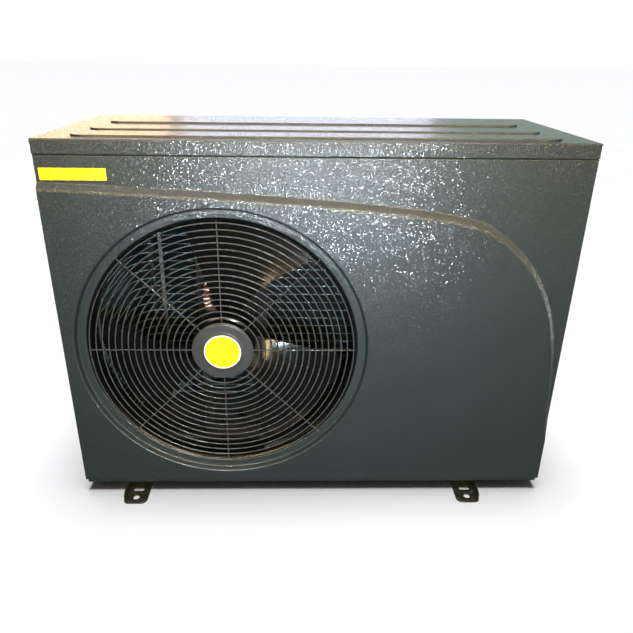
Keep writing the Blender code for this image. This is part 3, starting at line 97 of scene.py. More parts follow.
BLADE_SPAN = (math.radians(46), math.radians(20))   # at the hub, and how much more at the tip
BLADE_LEAD = math.radians(-12)
BLADE_PITCH = 52 * MM
BLADE_CAMBER = 6 * MM
BLADE_GRID = (22, 26)
SHROUD_THROAT = 250 * MM
SHROUD_WALL = 2.5 * MM
LEAD_RADIUS = 6.5 * MM
LEAD_RINGS = 7
STRAP_WIDTH = 9 * MM
BEND_STEPS = 4
COVER_BEND = 2.5 * MM
HEM = 9 * MM
GRAIN = 1.1 * MM
FOOT_SHEET = 2.5 * MM
FOOT_CORNER = 12 * MM
FOOT_EDGE = 0.8 * MM
FOOT_HOLE = (6.5 * MM, 18 * MM)
FOOT_SLOT = (22 * MM, 9 * MM, 42 * MM)
FOOT_FLANGE = 28 * MM
WEB_CORNER = 5 * MM
GRILLE_PITCH = 12 * MM
GRILLE_WIRE = 1.1 * MM
GRILLE_EDGE = 3 * MM
SCREW_IN = 11 * MM
NUT_BORE = (30.2 * MM, 33.5 * MM)
NUT_LIP = 6 * MM
NUT_RIB = 2.6 * MM
NUT_RIBS = 24
NUT_STEPS = 192

# ---- Where things are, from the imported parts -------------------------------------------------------
panel_low, panel_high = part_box("front_panel")
cover_low, cover_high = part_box("top_cover")
rear_low, rear_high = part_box("rear_panel")
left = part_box("left_panel")[0].x
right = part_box("right_panel")[1].x
field = panel_low.y
front = field + STEP
bottom = panel_low.z
panel_top = panel_high.z
top = cover_high.z - RIB_HEIGHT
fan_x, fan_z = fan_axis.x, fan_axis.z


# ---- Materials -------------------------------------------------------------------------------------
def linear(code, alpha=1.0):
    """A six-figure sRGB hex colour as the linear colour that the shader takes."""
    shares = [int(code[place:place + 2], 16) / 255 for place in (0, 2, 4)]
    return (*[s / 12.92 if s <= 0.04045 else ((s + 0.055) / 1.055) ** 2.4 for s in shares], alpha)


def add(tree, kind, settings=(), inputs=()):
    """Adds one shader node. Settings are its own properties, inputs are values or other nodes' outputs."""
    made = tree.nodes.new(kind)
    for name, value in dict(settings).items():
        setattr(made, name, value)
    for name, value in dict(inputs).items():
        if isinstance(value, bpy.types.NodeSocket):
            tree.links.new(value, made.inputs[name])
        else:
            made.inputs[name].default_value = value
    return made


def begin(name, **values):
    """A new material with a Principled shader set to the given values, its tree and that shader."""
    material = bpy.data.materials.new(name)
    material.use_nodes = True
    tree = material.node_tree
    shader = tree.nodes["Principled BSDF"]
    for key, value in values.items():
        shader.inputs[key.replace("_", " ")].default_value = value
    return material, tree, shader


def powder_coat():
    """Polyester powder coat, baked on sheet steel: dark blue-grey with a satin haze. The grains of its
    orange peel each face a little to one side, so that those that face a lamp throw a white speck. They
    are drawn coarser than real ones so that the specks still show from where the unit is seen."""
    material, tree, shader = begin("powder_coat", Roughness=0.49, Coat_Weight=0.8, Coat_Roughness=0.19)
    place = add(tree, "ShaderNodeTexCoord").outputs["Object"]
    cloud = add(tree, "ShaderNodeTexNoise", {}, {"Vector": place, "Scale": 7.0, "Detail": 3.0})
    colour = add(tree, "ShaderNodeMix", {"data_type": "RGBA"},
                 {0: cloud.outputs["Fac"], 6: linear("172024"), 7: linear("1f2a2e")})
    tree.links.new(colour.outputs[2], shader.inputs["Base Color"])
    grain = add(tree, "ShaderNodeTexVoronoi", {"feature": "F1"}, {"Vector": place, "Scale": 1 / GRAIN})
    spread = add(tree, "ShaderNodeVectorMath", {"operation": "SUBTRACT"},
                 {0: grain.outputs["Color"], 1: (0.5, 0.5, 0.5)})
    facing = add(tree, "ShaderNodeNewGeometry").outputs["Normal"]
    for layer, lean in (("Normal", 0.24), ("Coat Normal", 0.44)):
        tilt = add(tree, "ShaderNodeVectorMath", {"operation": "SCALE"},
                   {0: spread.outputs[0], "Scale": lean})
        leant = add(tree, "ShaderNodeVectorMath", {"operation": "ADD"}, {0: tilt.outputs[0], 1: facing})
        normal = add(tree, "ShaderNodeVectorMath", {"operation": "NORMALIZE"}, {0: leant.outputs[0]})
        tree.links.new(normal.outputs[0], shader.inputs[layer])
    return material


def plain(name, colour, roughness, metallic=0.0, spread=0.12, size=30 * MM, bump=0.0, grain=2 * MM,
          **values):
    """A finish whose colour and roughness drift a little over the surface, with an optional fine grain."""
    material, tree, shader = begin(name, Metallic=metallic, Roughness=roughness, **values)
    place = add(tree, "ShaderNodeTexCoord").outputs["Object"]
    cloud = add(tree, "ShaderNodeTexNoise", {}, {"Vector": place, "Scale": 1 / size, "Detail": 4.0})
    base = linear(colour)
    dark = (*[part * (1 - spread) for part in base[:3]], 1)
    pale = (*[min(part * (1 + spread), 1) for part in base[:3]], 1)
    tint = add(tree, "ShaderNodeMix", {"data_type": "RGBA"}, {0: cloud.outputs["Fac"], 6: dark, 7: pale})
    tree.links.new(tint.outputs[2], shader.inputs["Base Color"])
    rough = add(tree, "ShaderNodeMapRange", {},
                {"Value": cloud.outputs["Fac"], "From Min": 0.3, "From Max": 0.7,
                 "To Min": roughness * 0.85, "To Max": min(roughness * 1.15, 1)})
    tree.links.new(rough.outputs["Result"], shader.inputs["Roughness"])
    if bump:
        fine = add(tree, "ShaderNodeTexNoise", {}, {"Vector": place, "Scale": 1 / grain, "Detail": 3.0})
        relief = add(tree, "ShaderNodeBump", {}, {"Strength": bump, "Distance": 0.2 * MM,
                                                  "Height": fine.outputs["Fac"]})
        tree.links.new(relief.outputs["Normal"], shader.inputs["Normal"])
    return material


coat = powder_coat()
# Epoxy coat on welded wire: dark grey, with one thin bright line along the top of each wire.
guard_paint = plain("epoxy_coated_wire", "3b3e43", 0.26, spread=0.10, bump=0.15)
# The same coat on a pressed disc: broad, soft and nearly black.
plate_paint = plain("epoxy_coated_disc", "34363a", 0.36, spread=0.06, bump=0.2)
# Thick dipped enamel on bent strip: olive black and wet-looking, with pale glints along its edges.
foot_enamel = plain("dipped_enamel", "1a1b16", 0.16, spread=0.15, bump=0.35, grain=6 * MM)
# Hot-dip galvanised sheet: mid grey in soft clouds.
galvanised = plain("galvanised_steel", "9a9c9c", 0.42, 1.0, spread=0.2, size=12 * MM, bump=0.1)
# Zinc-plated screws, shaft and cans: paler and brighter than the sheet.
zinc = plain("zinc_plated_steel", "b4b6b4", 0.30, 1.0, spread=0.1)
# Moulded polypropylene: near black, with clear but slightly soft reflections.
polypropylene = plain("moulded_polypropylene", "0a0c0e", 0.17, spread=0.15, bump=0.05)
# Stoved enamel on cast and drawn steel: black, semi-gloss, a little uneven.
black_paint = plain("black_enamel", "121416", 0.34, spread=0.2, bump=0.15)
# Moulded rubber: matt, no clear highlight.
rubber = plain("moulded_rubber", "141414", 0.8, spread=0.2, bump=0.3)
# Drawn copper tube: warm red metal, dulled in patches by handling and brazing.
copper = plain("drawn_copper", "b86a48", 0.3, 1.0, spread=0.25, size=18 * MM)
# Turned brass: yellow metal with even, fairly sharp highlights.
brass = plain("turned_brass", "b6924a", 0.3, 1.0, spread=0.15)
# Moulded PVC fittings: mid grey, satin, very even.
grey_pvc = plain("moulded_grey_pvc", "6d7376", 0.38, spread=0.06, bump=0.2)
# Titanium tube: darker and browner than steel.
titanium = plain("titanium_tube", "8f8b84", 0.35, 1.0, spread=0.1)
# Solder-resist lacquer on a circuit board: green and glossy.
board_green = plain("lacquered_board", "1f5a36", 0.35, spread=0.1)
# Moulded polycarbonate of the contactor: cream and satin.
pale_plastic = plain("moulded_polycarbonate", "c9c7be", 0.45, spread=0.05)
# Hydrophilic coat on aluminium fins: deep teal, brighter where a fin catches the light.
fin_blue = plain("coated_fins", "0d2d38", 0.45, 0.4, spread=0.25, size=25 * MM)
# The same fins, darkened for the left run and the bend where they lie in shadow: painted shade, nearly black.
fins_painted_shade = plain("fins_in_painted_shade", "07161c", 0.6, 0.2, spread=0.3, size=25 * MM)
# Tube collars drawn from the fins, coloured pale blue as a painted highlight: thin bright lines, uneven along
# their length.
collars_painted_highlight = plain("tube_collars_painted_highlight", "9fbcc4", 0.36, 0.2, spread=0.3, size=9 * MM)
# Varnished glass sleeve: dark brick red, woven and soft.
red_sleeve = plain("varnished_glass_sleeve", "4a1a12", 0.5, spread=0.25, size=6 * MM, bump=0.3)
# Cotton lacing cord: off-white and matt.
white_cord = plain("cotton_lacing", "ddd8cf", 0.7, spread=0.1, size=3 * MM, bump=0.4)
# Screen-printed polyester film: strong flat yellow with a pale unprinted rim.
film_yellow = plain("printed_yellow_film", "f6ee10", 0.42, spread=0.03)
film_rim = plain("unprinted_film", "f2f0dc", 0.42, spread=0.03)
film_edge = plain("film_edge", "d8cf08", 0.42, spread=0.03)


# ---- Mesh tools ------------------------------------------------------------------------------------
class Shape:
    """Points and faces gathered from several simple builders, each face with the number of its finish."""

    def __init__(self):
        self.points = []
        self.faces = []
        self.slots = []

    def add(self, points, faces, slot=0):
        start = len(self.points)
        self.points += [Vector(point) for point in points]
        self.faces += [[start + index for index in face] for face in faces]
        self.slots += [slot] * len(faces)

    def loft(self, loops, slot=0, ring=True, caps=(False, False)):
        """Faces between loops of equal length. A ring loop closes on itself; caps close the ends."""
        count = len(loops[0])
        points = [point for loop in loops for point in loop]
        faces = []
        for row in range(len(loops) - 1):
            for column in range(count if ring else count - 1):
                after = (column + 1) % count
                faces.append([row * count + column, row * count + after,
                              (row + 1) * count + after, (row + 1) * count + column])
        if caps[0]:
            faces.append(list(reversed(range(count))))
        if caps[1]:
            faces.append([(len(loops) - 1) * count + column for column in range(count)])
        self.add(points, faces, slot)

    def turn(self, profile, centre, axis, steps=48, slot=0, caps=(False, False)):
        """A profile of (radius, distance along the axis) turned about the axis through the centre."""
        spin = Vector(axis).to_track_quat("Z", "X")
        loops = []
        for radius, along in profile:
            loops.append([Vector(centre) + spin @ Vector((radius * math.cos(math.tau * step / steps),
                                                          radius * math.sin(math.tau * step / steps), along))
                          for step in range(steps)])
        self.loft(loops, slot, True, caps)

    def wire(self, points, radius, slot=0, sides=8, closed=False):
        """A round wire along a line of points."""
        points = [Vector(point) for point in points]
        count = len(points)
        loops = []
        normal = None
        for index, point in enumerate(points):
            if closed:
                along = (points[(index + 1) % count] - points[index - 1]).normalized()
            else:
                along = (points[min(index + 1, count - 1)] - points[max(index - 1, 0)]).normalized()
            if normal is None:
                normal = along.orthogonal().normalized()
            normal = (normal - along * normal.dot(along)).normalized()
            side = along.cross(normal)
            angles = [math.tau * step / sides for step in range(sides)]
            loops.append([point + (normal * math.cos(angle) + side * math.sin(angle)) * radius
                          for angle in angles])
        if closed:
            loops.append(loops[0])
        self.loft(loops, slot, True, (not closed, not closed))

    def block(self, low, high, slot=0, bevel=0.0):
        """A box between two corners, its upright and level edges cut back by the bevel."""
        low, high = Vector(low), Vector(high)
        levels = [(low.z, 0), (high.z, 0)]
        if bevel:
            levels = [(low.z, bevel), (low.z + bevel, 0), (high.z - bevel, 0), (high.z, bevel)]
        loops = []
        for z, inset in levels:
            x0, x1, y0, y1 = low.x + inset, high.x - inset, low.y + inset, high.y - inset
            corners = [(x0, y0), (x1, y0), (x1, y1), (x0, y1)]
            if bevel:
                corners = [(x0 + bevel, y0), (x1 - bevel, y0), (x1, y0 + bevel), (x1, y1 - bevel),
                           (x1 - bevel, y1), (x0 + bevel, y1), (x0, y1 - bevel), (x0, y0 + bevel)]
            loops.append([Vector((x, y, z)) for x, y in corners])
        self.loft(loops, slot, True, (True, True))

    def piece(self, name, finishes, body=BODY, replaces=(), sharp=40, thickness=0.0, weighted=False,
              slot=""):
        """Makes the mesh object, gives it its finishes and lets it ride on its body."""
        mesh = bpy.data.meshes.new(name)
        mesh.from_pydata(self.points, [], self.faces)
        shape = bmesh.new()
        shape.from_mesh(mesh)
        bmesh.ops.remove_doubles(shape, verts=shape.verts, dist=0.01 * MM)
        if not thickness:
            bmesh.ops.recalc_face_normals(shape, faces=shape.faces)
        shape.to_mesh(mesh)
        shape.free()
        if len(mesh.polygons) == len(self.slots):
            mesh.polygons.foreach_set("material_index", self.slots)
        return dress(bpy.data.objects.new(name, mesh), finishes, body, replaces, sharp, thickness, weighted,
                     slot)


def dress(piece, finishes, body=BODY, replaces=(), sharp=40, thickness=0.0, weighted=False, slot=""):
    """Links a mesh object with its finishes, smooth shading and its place in the machine."""
    bpy.context.scene.collection.objects.link(piece)
    for finish in finishes if isinstance(finishes, (list, tuple)) else [finishes]:
        piece.data.materials.append(finish)
    piece.data.polygons.foreach_set("use_smooth", [True] * len(piece.data.polygons))
    piece.data.set_sharp_from_angle(angle=math.radians(sharp))
    if thickness:
        solid = piece.modifiers.new("sheet", "SOLIDIFY")
        solid.thickness = thickness
        solid.offset = -1
    if weighted:
        normals = piece.modifiers.new("normals", "WEIGHTED_NORMAL")
        normals.keep_sharp = True
        normals.weight = 100
    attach(piece, body)
    if replaces:
        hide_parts(*replaces)
    return piece


def mm(pairs, base=(0, 0)):
    """Pairs of millimetres as metres, counted from a pair that is in metres already."""
    return [(base[0] + one * MM, base[1] + other * MM) for one, other in pairs]


def around(radius, centre, y, steps=ROUND_STEPS):
    """A circle in the plane of the front, as points."""
    return [Vector((centre[0] + radius * math.cos(math.tau * step / steps), y,
                    centre[1] + radius * math.sin(math.tau * step / steps))) for step in range(steps)]


def bridge(shape, rows, closed=True):
    """Faces between rows of bmesh vertices of equal length. A closed row's end joins its start."""
    for one, other in zip(rows, rows[1:]):
        for index in range(len(one) if closed else len(one) - 1):
            after = (index + 1) % len(one)
            shape.faces.new([one[index], one[after], other[after], other[index]])


def pressed(name, shape, finishes, *how):
    """Makes the mesh object of a finished bmesh and dresses it."""
    mesh = bpy.data.meshes.new(name)
    shape.to_mesh(mesh)
    shape.free()
    return dress(bpy.data.objects.new(name, mesh), finishes, BODY, *how)


def fill(shape, loops):
    """Fills the flat area between closed loops of bmesh vertices."""
    edges = []
    for loop in loops:
        for one, other in zip(loop, loop[1:] + loop[:1]):
            edges.append(shape.edges.get((one, other)) or shape.edges.new((one, other)))
    bmesh.ops.triangle_fill(shape, use_beauty=True, use_dissolve=False, edges=edges)


def rounded(width, height, corner, steps=8):
    """A rectangle with round corners about the origin, as (x, y) points in order."""
    points = []
    for number, (x, y) in enumerate(((1, 1), (-1, 1), (-1, -1), (1, -1))):
        for step in range(steps + 1):
            angle = math.pi / 2 * (number + step / steps)
            points.append((x * (width / 2 - corner) + corner * math.cos(angle),
                           y * (height / 2 - corner) + corner * math.sin(angle)))
    return points


# ---- Front panel -----------------------------------------------------------------------------------
def bezier(points, share):
    a, b, c, d = points
    rest = 1 - share
    return a * rest ** 3 + b * (3 * share * rest ** 2) + c * (3 * share ** 2 * rest) + d * share ** 3


def sweep_line():
    """The lower edge of the sloping band from left to right, with the band's width at each point."""
    joint = Vector((right - SWEEP_JOINT[0], top - SWEEP_JOINT[1]))
    first = [Vector((left, top - SWEEP_START)), Vector((left + SWEEP_FLAT[0][0], top - SWEEP_FLAT[0][1])),
             Vector((right - SWEEP_FLAT[1][0], top - SWEEP_FLAT[1][1])), joint]
    second = [joint, Vector((right - SWEEP_SIDE[0][0], top - SWEEP_SIDE[0][1])),
              Vector((right - SWEEP_SIDE[1][0], bottom + SWEEP_SIDE[1][1])),
              Vector((right, bottom + SWEEP_END))]
    half = SWEEP_STEPS // 2
    line = [bezier(first, step / half) for step in range(half + 1)]
    line += [bezier(second, step / half) for step in range(1, half + 1)]
    widths = [bezier(BAND_WIDTH, index / (len(line) - 1)) for index in range(len(line))]
    return line, widths


def clipped(points, low, high, count):
    """The part of a line between two x values, as that many points evenly spaced along it."""
    kept = []
    for one, other in zip(points, points[1:]):
        for point in (one, other):
            if low <= point.x <= high:
                kept.append(point)
        for limit in (low, high):
            if (one.x - limit) * (other.x - limit) < 0:
                kept.append(one.lerp(other, (limit - one.x) / (other.x - one.x)))
    line = sorted({(round(p.x, 7), round(p.y, 7)) for p in kept},
                  key=lambda p: (p[0] - low) - (p[1] - bottom))
    line = [Vector(p) for p in line]
    lengths = [0.0]
    for one, other in zip(line, line[1:]):
        lengths.append(lengths[-1] + (other - one).length)
    spaced = []
    for step in range(count):
        wanted = lengths[-1] * step / (count - 1)
        index = max(i for i in range(len(lengths)) if lengths[i] <= wanted + 1e-12)
        index = min(index, len(line) - 2)
        span = lengths[index + 1] - lengths[index]
        spaced.append(line[index].lerp(line[index + 1], (wanted - lengths[index]) / span))
    return spaced


def front_panel():
    """The pressed front: upper field, sloping band, lower field, recess with its opening, bent edges."""
    inner_left, inner_right = left + EDGE_BEND, right - EDGE_BEND
    inner_low, inner_high = bottom + EDGE_BEND, panel_top - EDGE_BEND
    line, widths = sweep_line()
    normals = []
    for index in range(len(line)):
        along = (line[min(index + 1, len(line) - 1)] - line[max(index - 1, 0)]).normalized()
        normals.append(Vector((-along.y, along.x)))
    # How far across the band, and how much of the step is left there: rounded over at both edges.
    across = [(-0.34, 0.0), (-0.18, 0.016), (-0.04, 0.055), (0.10, 0.13), (0.24, 0.245), (0.50, 0.53),
              (0.78, 0.86), (0.88, 0.955), (0.98, 0.992), (1.12, 1.0)]
    shape = bmesh.new()
    rows = []
    for share, rise in across:
        offset = [point + normal * width * share for point, normal, width in zip(line, normals, widths)]
        spaced = clipped(offset, inner_left, inner_right, SWEEP_STEPS)
        rows.append([shape.verts.new((p.x, field + STEP * rise, p.y)) for p in spaced])
    bridge(shape, rows, False)
    low_edge, high_edge = rows[0], rows[-1]
    skirt = cover_low.z
    seam_start = skirt - 3.6 * MM
    corner_points = {"low_left": (inner_left, field, inner_low),
                     "low_right": (inner_right, field, inner_low),
                     "high_left": (inner_left, front, seam_start),
                     "high_right": (inner_right, front, seam_start)}
    corner = {name: shape.verts.new(point) for name, point in corner_points.items()}
    # Under the cover's skirt the field bends back, which leaves a dark seam with a bright lower edge.
    seam = []
    places = mm(((0.15, -2.8), (0.7, -2.1), (2.2, -1.7), (2.8, 0)), (front, skirt))
    for y, z in places + [(front + 2.8 * MM, inner_high)]:
        seam.append([shape.verts.new((x, y, z)) for x in (inner_left, inner_right)])
    bridge(shape, [[corner["high_left"], corner["high_right"]], *seam], False)
    # The recess, from its rounded outer edge down the slope, across the floor and back round the lip.
    profile = mm(((2.4, 0), (1.3, 0.16), (0.3, 0.6), (-0.4, 1.3), (-0.8, 2.4), (-1.8, 9.6), (-2.6, 11.2),
                  (-3.8, 11.9), (-5.0, 12.0), (-9.2, 12.0), (-9.8, 11.75), (-10.6, 11.7), (-11.2, 12.0)),
                 (RECESS_RADIUS, field))
    profile += mm(((1.8, 0), (0.5, 0.5), (0, 1.8), (0, LIP / MM)), (OPENING_RADIUS, field + RECESS_DEPTH))
    rings = [[shape.verts.new(p) for p in around(radius, (fan_x, fan_z), y)] for radius, y in profile]
    bridge(shape, rings)
    fill(shape, [[corner["low_left"], corner["low_right"], *reversed(low_edge)], rings[0]])
    fill(shape, [[*high_edge, corner["high_right"], corner["high_left"]]])
    # The bent edges all round.
    outline = [corner["low_left"], corner["low_right"]]
    outline += [row[-1] for row in rows] + [corner["high_right"]] + [pair[1] for pair in seam]
    outline += [pair[0] for pair in reversed(seam)] + [corner["high_left"]]
    outline += [row[0] for row in reversed(rows)]
    outward = {corner["low_left"]: (-1, -1), corner["low_right"]: (1, -1), corner["high_left"]: (-1, 0),
               corner["high_right"]: (1, 0)}
    for pair in seam[:-1]:
        outward.update({pair[0]: (-1, 0), pair[1]: (1, 0)})
    outward.update({seam[-1][0]: (-1, 1), seam[-1][1]: (1, 1)})
    outward.update({row[-1]: (1, 0) for row in rows})
    outward.update({row[0]: (-1, 0) for row in rows})
    loops = [outline]
    for step in range(1, BEND_STEPS + 1):
        angle = math.pi / 2 * step / BEND_STEPS
        loop = []
        for vertex in outline:
            x, z = outward[vertex]
            reach = EDGE_BEND * math.sin(angle)
            loop.append(shape.verts.new((vertex.co.x + x * reach,
                                         vertex.co.y + EDGE_BEND * (1 - math.cos(angle)),
                                         vertex.co.z + z * reach)))
        loops.append(loop)
    loops.append([shape.verts.new((v.co.x, panel_high.y, v.co.z)) for v in loops[-1]])
    bridge(shape, loops)
    bmesh.ops.recalc_face_normals(shape, faces=shape.faces)
    largest = max(shape.faces, key=lambda face: face.calc_area())
    if largest.normal.y > 0:
        bmesh.ops.reverse_faces(shape, faces=shape.faces)
    pressed("front_skin", shape, coat, ("front_panel",), 60, SHEET, True)


# ---- Top cover -------------------------------------------------------------------------------------
def top_cover():
    """The pressed lid: ribs with sloped walls and soft shoulders, a rounded edge, a skirt with a hem."""
    shape = bmesh.new()
    middle = Vector(((cover_low.x + cover_high.x) / 2, (cover_low.y + cover_high.y) / 2, 0))
    width, depth = cover_high.x - cover_low.x, cover_high.y - cover_low.y

    def loop(inset, z, corner):
        return [shape.verts.new((middle.x + x, middle.y + y, z))
                for x, y in rounded(width - 2 * inset, depth - 2 * inset, corner, 4)]

    outline = [loop(COVER_BEND, top, 1 * MM)]
    for step in range(1, BEND_STEPS + 1):
        across, up = math.sin(math.pi / 2 * step / BEND_STEPS), math.cos(math.pi / 2 * step / BEND_STEPS)
        outline.append(loop(COVER_BEND * (1 - across), top - COVER_BEND * (1 - up),
                            1 * MM + COVER_BEND * across))
    outline.append(loop(0, cover_low.z + 0.6 * MM, 3.5 * MM))
    outline.append(loop(0.6 * MM, cover_low.z, 3 * MM))
    outline.append(loop(HEM, cover_low.z, 1 * MM))
    bridge(shape, outline)
    holes = []
    for number, rib_front in enumerate(RIB_FRONTS):
        length = (right - left) - 2 * (RIB_INSET + RIB_STEP_IN * number)
        centre = Vector(((left + right) / 2, front + rib_front + RIB_WIDTH / 2, 0))
        loops = []
        for inset, rise in mm(((-0.5, 0), (-0.1, 0.1), (0, 0.35), (0.3, 2.6), (0.6, 2.9), (1.4, 3))):
            loops.append([shape.verts.new((centre.x + x, centre.y + y, top + rise)) for x, y in
                          rounded(length - 2 * inset, RIB_WIDTH - 2 * inset, RIB_CORNER - inset, 10)])
        bridge(shape, loops)
        shape.faces.new(loops[-1])
        holes.append(loops[0])
    fill(shape, [outline[0], *holes])
    bmesh.ops.recalc_face_normals(shape, faces=shape.faces)
    tops = [face for face in shape.faces if face.calc_center_median().z > top + 0.9 * RIB_HEIGHT]
    if tops and tops[0].normal.z < 0:
        bmesh.ops.reverse_faces(shape, faces=shape.faces)
    pressed("cover_skin", shape, coat, ("top_cover",), 60, SHEET, True)


# ---- Guard -----------------------------------------------------------------------------------------
def fan_guard():
    """Seventeen welded wire rings on eight spokes; four spokes run on over the panel to their screws."""
    low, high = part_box("fan_guard")
    spoke_y = high.y - WIRE_RADIUS
    ring_y = low.y + WIRE_RADIUS
    shape = Shape()
    for number in range(RING_COUNT):
        radius = GUARD_RADIUS - WIRE_RADIUS
        radius -= (radius - HUB_RING) * number / (RING_COUNT - 1)
        steps = max(40, int(ROUND_STEPS * radius / GUARD_RADIUS))
        shape.wire(around(radius, (fan_x, fan_z), ring_y, steps), WIRE_RADIUS, closed=True)
    for number in range(SPOKES):
        angle = math.tau * number / SPOKES
        out = Vector((math.cos(angle), 0, math.sin(angle)))
        reach = SPOKE_END if number % 2 else GUARD_RADIUS + 2 * MM
        start = Vector((fan_x, spoke_y, fan_z)) + out * SPOKE_START
        end = Vector((fan_x, spoke_y, fan_z)) + out * reach
        shape.wire([start, start.lerp(end, 0.5), end], WIRE_RADIUS)
    shape.piece("guard_wires", guard_paint, replaces=("fan_guard",), sharp=50)


def guard_plate():
    """A pressed disc with a rolled edge over the guard's middle, and its round label with a pale rim."""
    low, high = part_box("guard_plate")
    depth = high.y - low.y
    radius = (high.x - low.x) / 2
    shape = Shape()
    profile = mm(((0.1, 0), (37, 0), (39, 0.3), (41, 1.0), (43, 1.1)))
    profile += mm(((-5, 1.1), (-2.2, 1.3), (-0.7, 1.6)), (radius, 0))
    profile += [(radius, depth * 0.85), (radius - 0.6 * MM, depth), (radius - 3 * MM, depth)]
    shape.turn(profile, (fan_x, low.y, fan_z), (0, 1, 0), DISC_STEPS)
    shape.piece("guard_disc", plate_paint, replaces=("guard_plate",), sharp=70)
    low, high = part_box("guard_label")
    radius = (high.x - low.x) / 2
    label = Shape()
    label.turn(mm(((0.1 - radius / MM, 0), (-2.2, 0)), (radius, 0)), (fan_x, low.y, fan_z), (0, 1, 0),
               DISC_STEPS)
    label.turn(mm(((-2.2, 0), (-0.3, 0), (0, 0.1)), (radius, 0)) + [(radius, high.y - low.y)],
               (fan_x, low.y, fan_z), (0, 1, 0), DISC_STEPS, 1)
    label.piece("round_label", [film_yellow, film_rim], replaces=("guard_label",), sharp=70)


def front_label():
    """A plain film strip with a darker printed edge."""
    low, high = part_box("front_label")
    edge = 1.0 * MM
    shape = Shape()
    shape.block((low.x, low.y + 0.05 * MM, low.z), high, 1)
    shape.block((low.x + edge, low.y, low.z + edge), (high.x - edge, low.y + 0.1 * MM, high.z - edge))
    shape.piece("strip_label", [film_yellow, film_edge], replaces=("front_label",), sharp=30)


# ---- Fan, shroud and motor -------------------------------------------------------------------------
def fan():
    """The moulded fan: three broad cambered blades with thick roots on a hub with a stepped nose."""
    low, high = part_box("fan")
    shape = Shape()
    deep = high.y - low.y
    profile = mm(((7, 3), (18, 3), (19, 0.6), (22, 0), (50, 0), (56, 1.2), (59, 4)))
    profile += [(FAN_HUB, 8 * MM), (FAN_HUB, deep), (FAN_HUB - 3.5 * MM, deep), (FAN_HUB - 3.5 * MM, 6 * MM),
                (20 * MM, 6 * MM)]
    shape.turn(profile, (fan_x, low.y, fan_z), (0, 1, 0), 64)
    for number in range(FAN_RIBS):
        angle = math.tau * number / FAN_RIBS
        out = Vector((math.cos(angle), 0, math.sin(angle)))
        side = Vector((-out.z, 0, out.x)) * 1.2 * MM
        a = Vector((fan_x, low.y + 6 * MM, fan_z)) + out * 18 * MM
        b = Vector((fan_x, low.y + 6 * MM, fan_z)) + out * (FAN_HUB - 3 * MM)
        back = Vector((0, 34 * MM, 0))
        shape.loft([[a - side, b - side, b - side + back, a - side + back],
                    [a + side, b + side, b + side + back, a + side + back]], 0, True, (True, True))
    middle = low.y + 31 * MM
    rows, columns = BLADE_GRID
    for number in range(BLADES):
        angle = FIRST_BLADE + math.tau * number / BLADES
        loops = []
        for row in range(rows + 1):
            share = row / rows
            radius = FAN_HUB - 1.5 * MM + (FAN_TIP - FAN_HUB + 1.5 * MM) * share
            span = BLADE_SPAN[0] + BLADE_SPAN[1] * share ** 1.5
            lead = BLADE_LEAD * share
            height = BLADE_PITCH * (1 - 0.15 * share)
            thick = (3.6 - 1.8 * share) * MM
            line_front, line_back = [], []
            for column in range(columns + 1):
                along = column / columns - 0.5
                corner = max(0.0, share - 0.82) / 0.18
                squeeze = 1 - 0.10 * corner ** 2
                turn = angle + lead + span * along * squeeze
                camber = BLADE_CAMBER * (1 - 4 * along * along)
                body = thick * (0.25 + 0.75 * math.sqrt(max(0.0, 1 - (2 * along) ** 2)))
                y = middle + height * along * squeeze + camber
                out = Vector((math.cos(turn), 0, math.sin(turn)))
                point = Vector((fan_x, y, fan_z)) + out * radius
                line_front.append(point - Vector((0, body / 2, 0)))
                line_back.append(point + Vector((0, body / 2, 0)))
            loops.append(line_front + list(reversed(line_back)))
        shape.loft(loops, 0, True, (True, True))
    shape.piece("fan_moulding", polypropylene, "fan_rotor", ("fan",), 42)


def shroud():
    """The moulded ring round the fan, flared at the front and stepped at the rear."""
    low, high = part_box("fan_shroud")
    outer = (high.x - low.x) / 2
    depth = high.y - low.y
    profile = [(outer, 0)]
    profile += mm(((9, 0), (4, 1.2), (1.2, 4.4), (0, 10)), (SHROUD_THROAT, 0))
    profile += mm(((0, -10), (2, -3), (6, -1), (6, 0), (2.5, -6)), (SHROUD_THROAT, depth))
    profile += mm(((2.5, 10), (7, 2.5)), (SHROUD_THROAT, 0))
    profile += [(outer, SHROUD_WALL), (outer, 0)]
    shape = Shape()
    shape.turn(profile, (fan_x, low.y, fan_z), (0, 1, 0), 120)
    shape.piece("shroud_ring", polypropylene, replaces=("fan_shroud",), sharp=40)


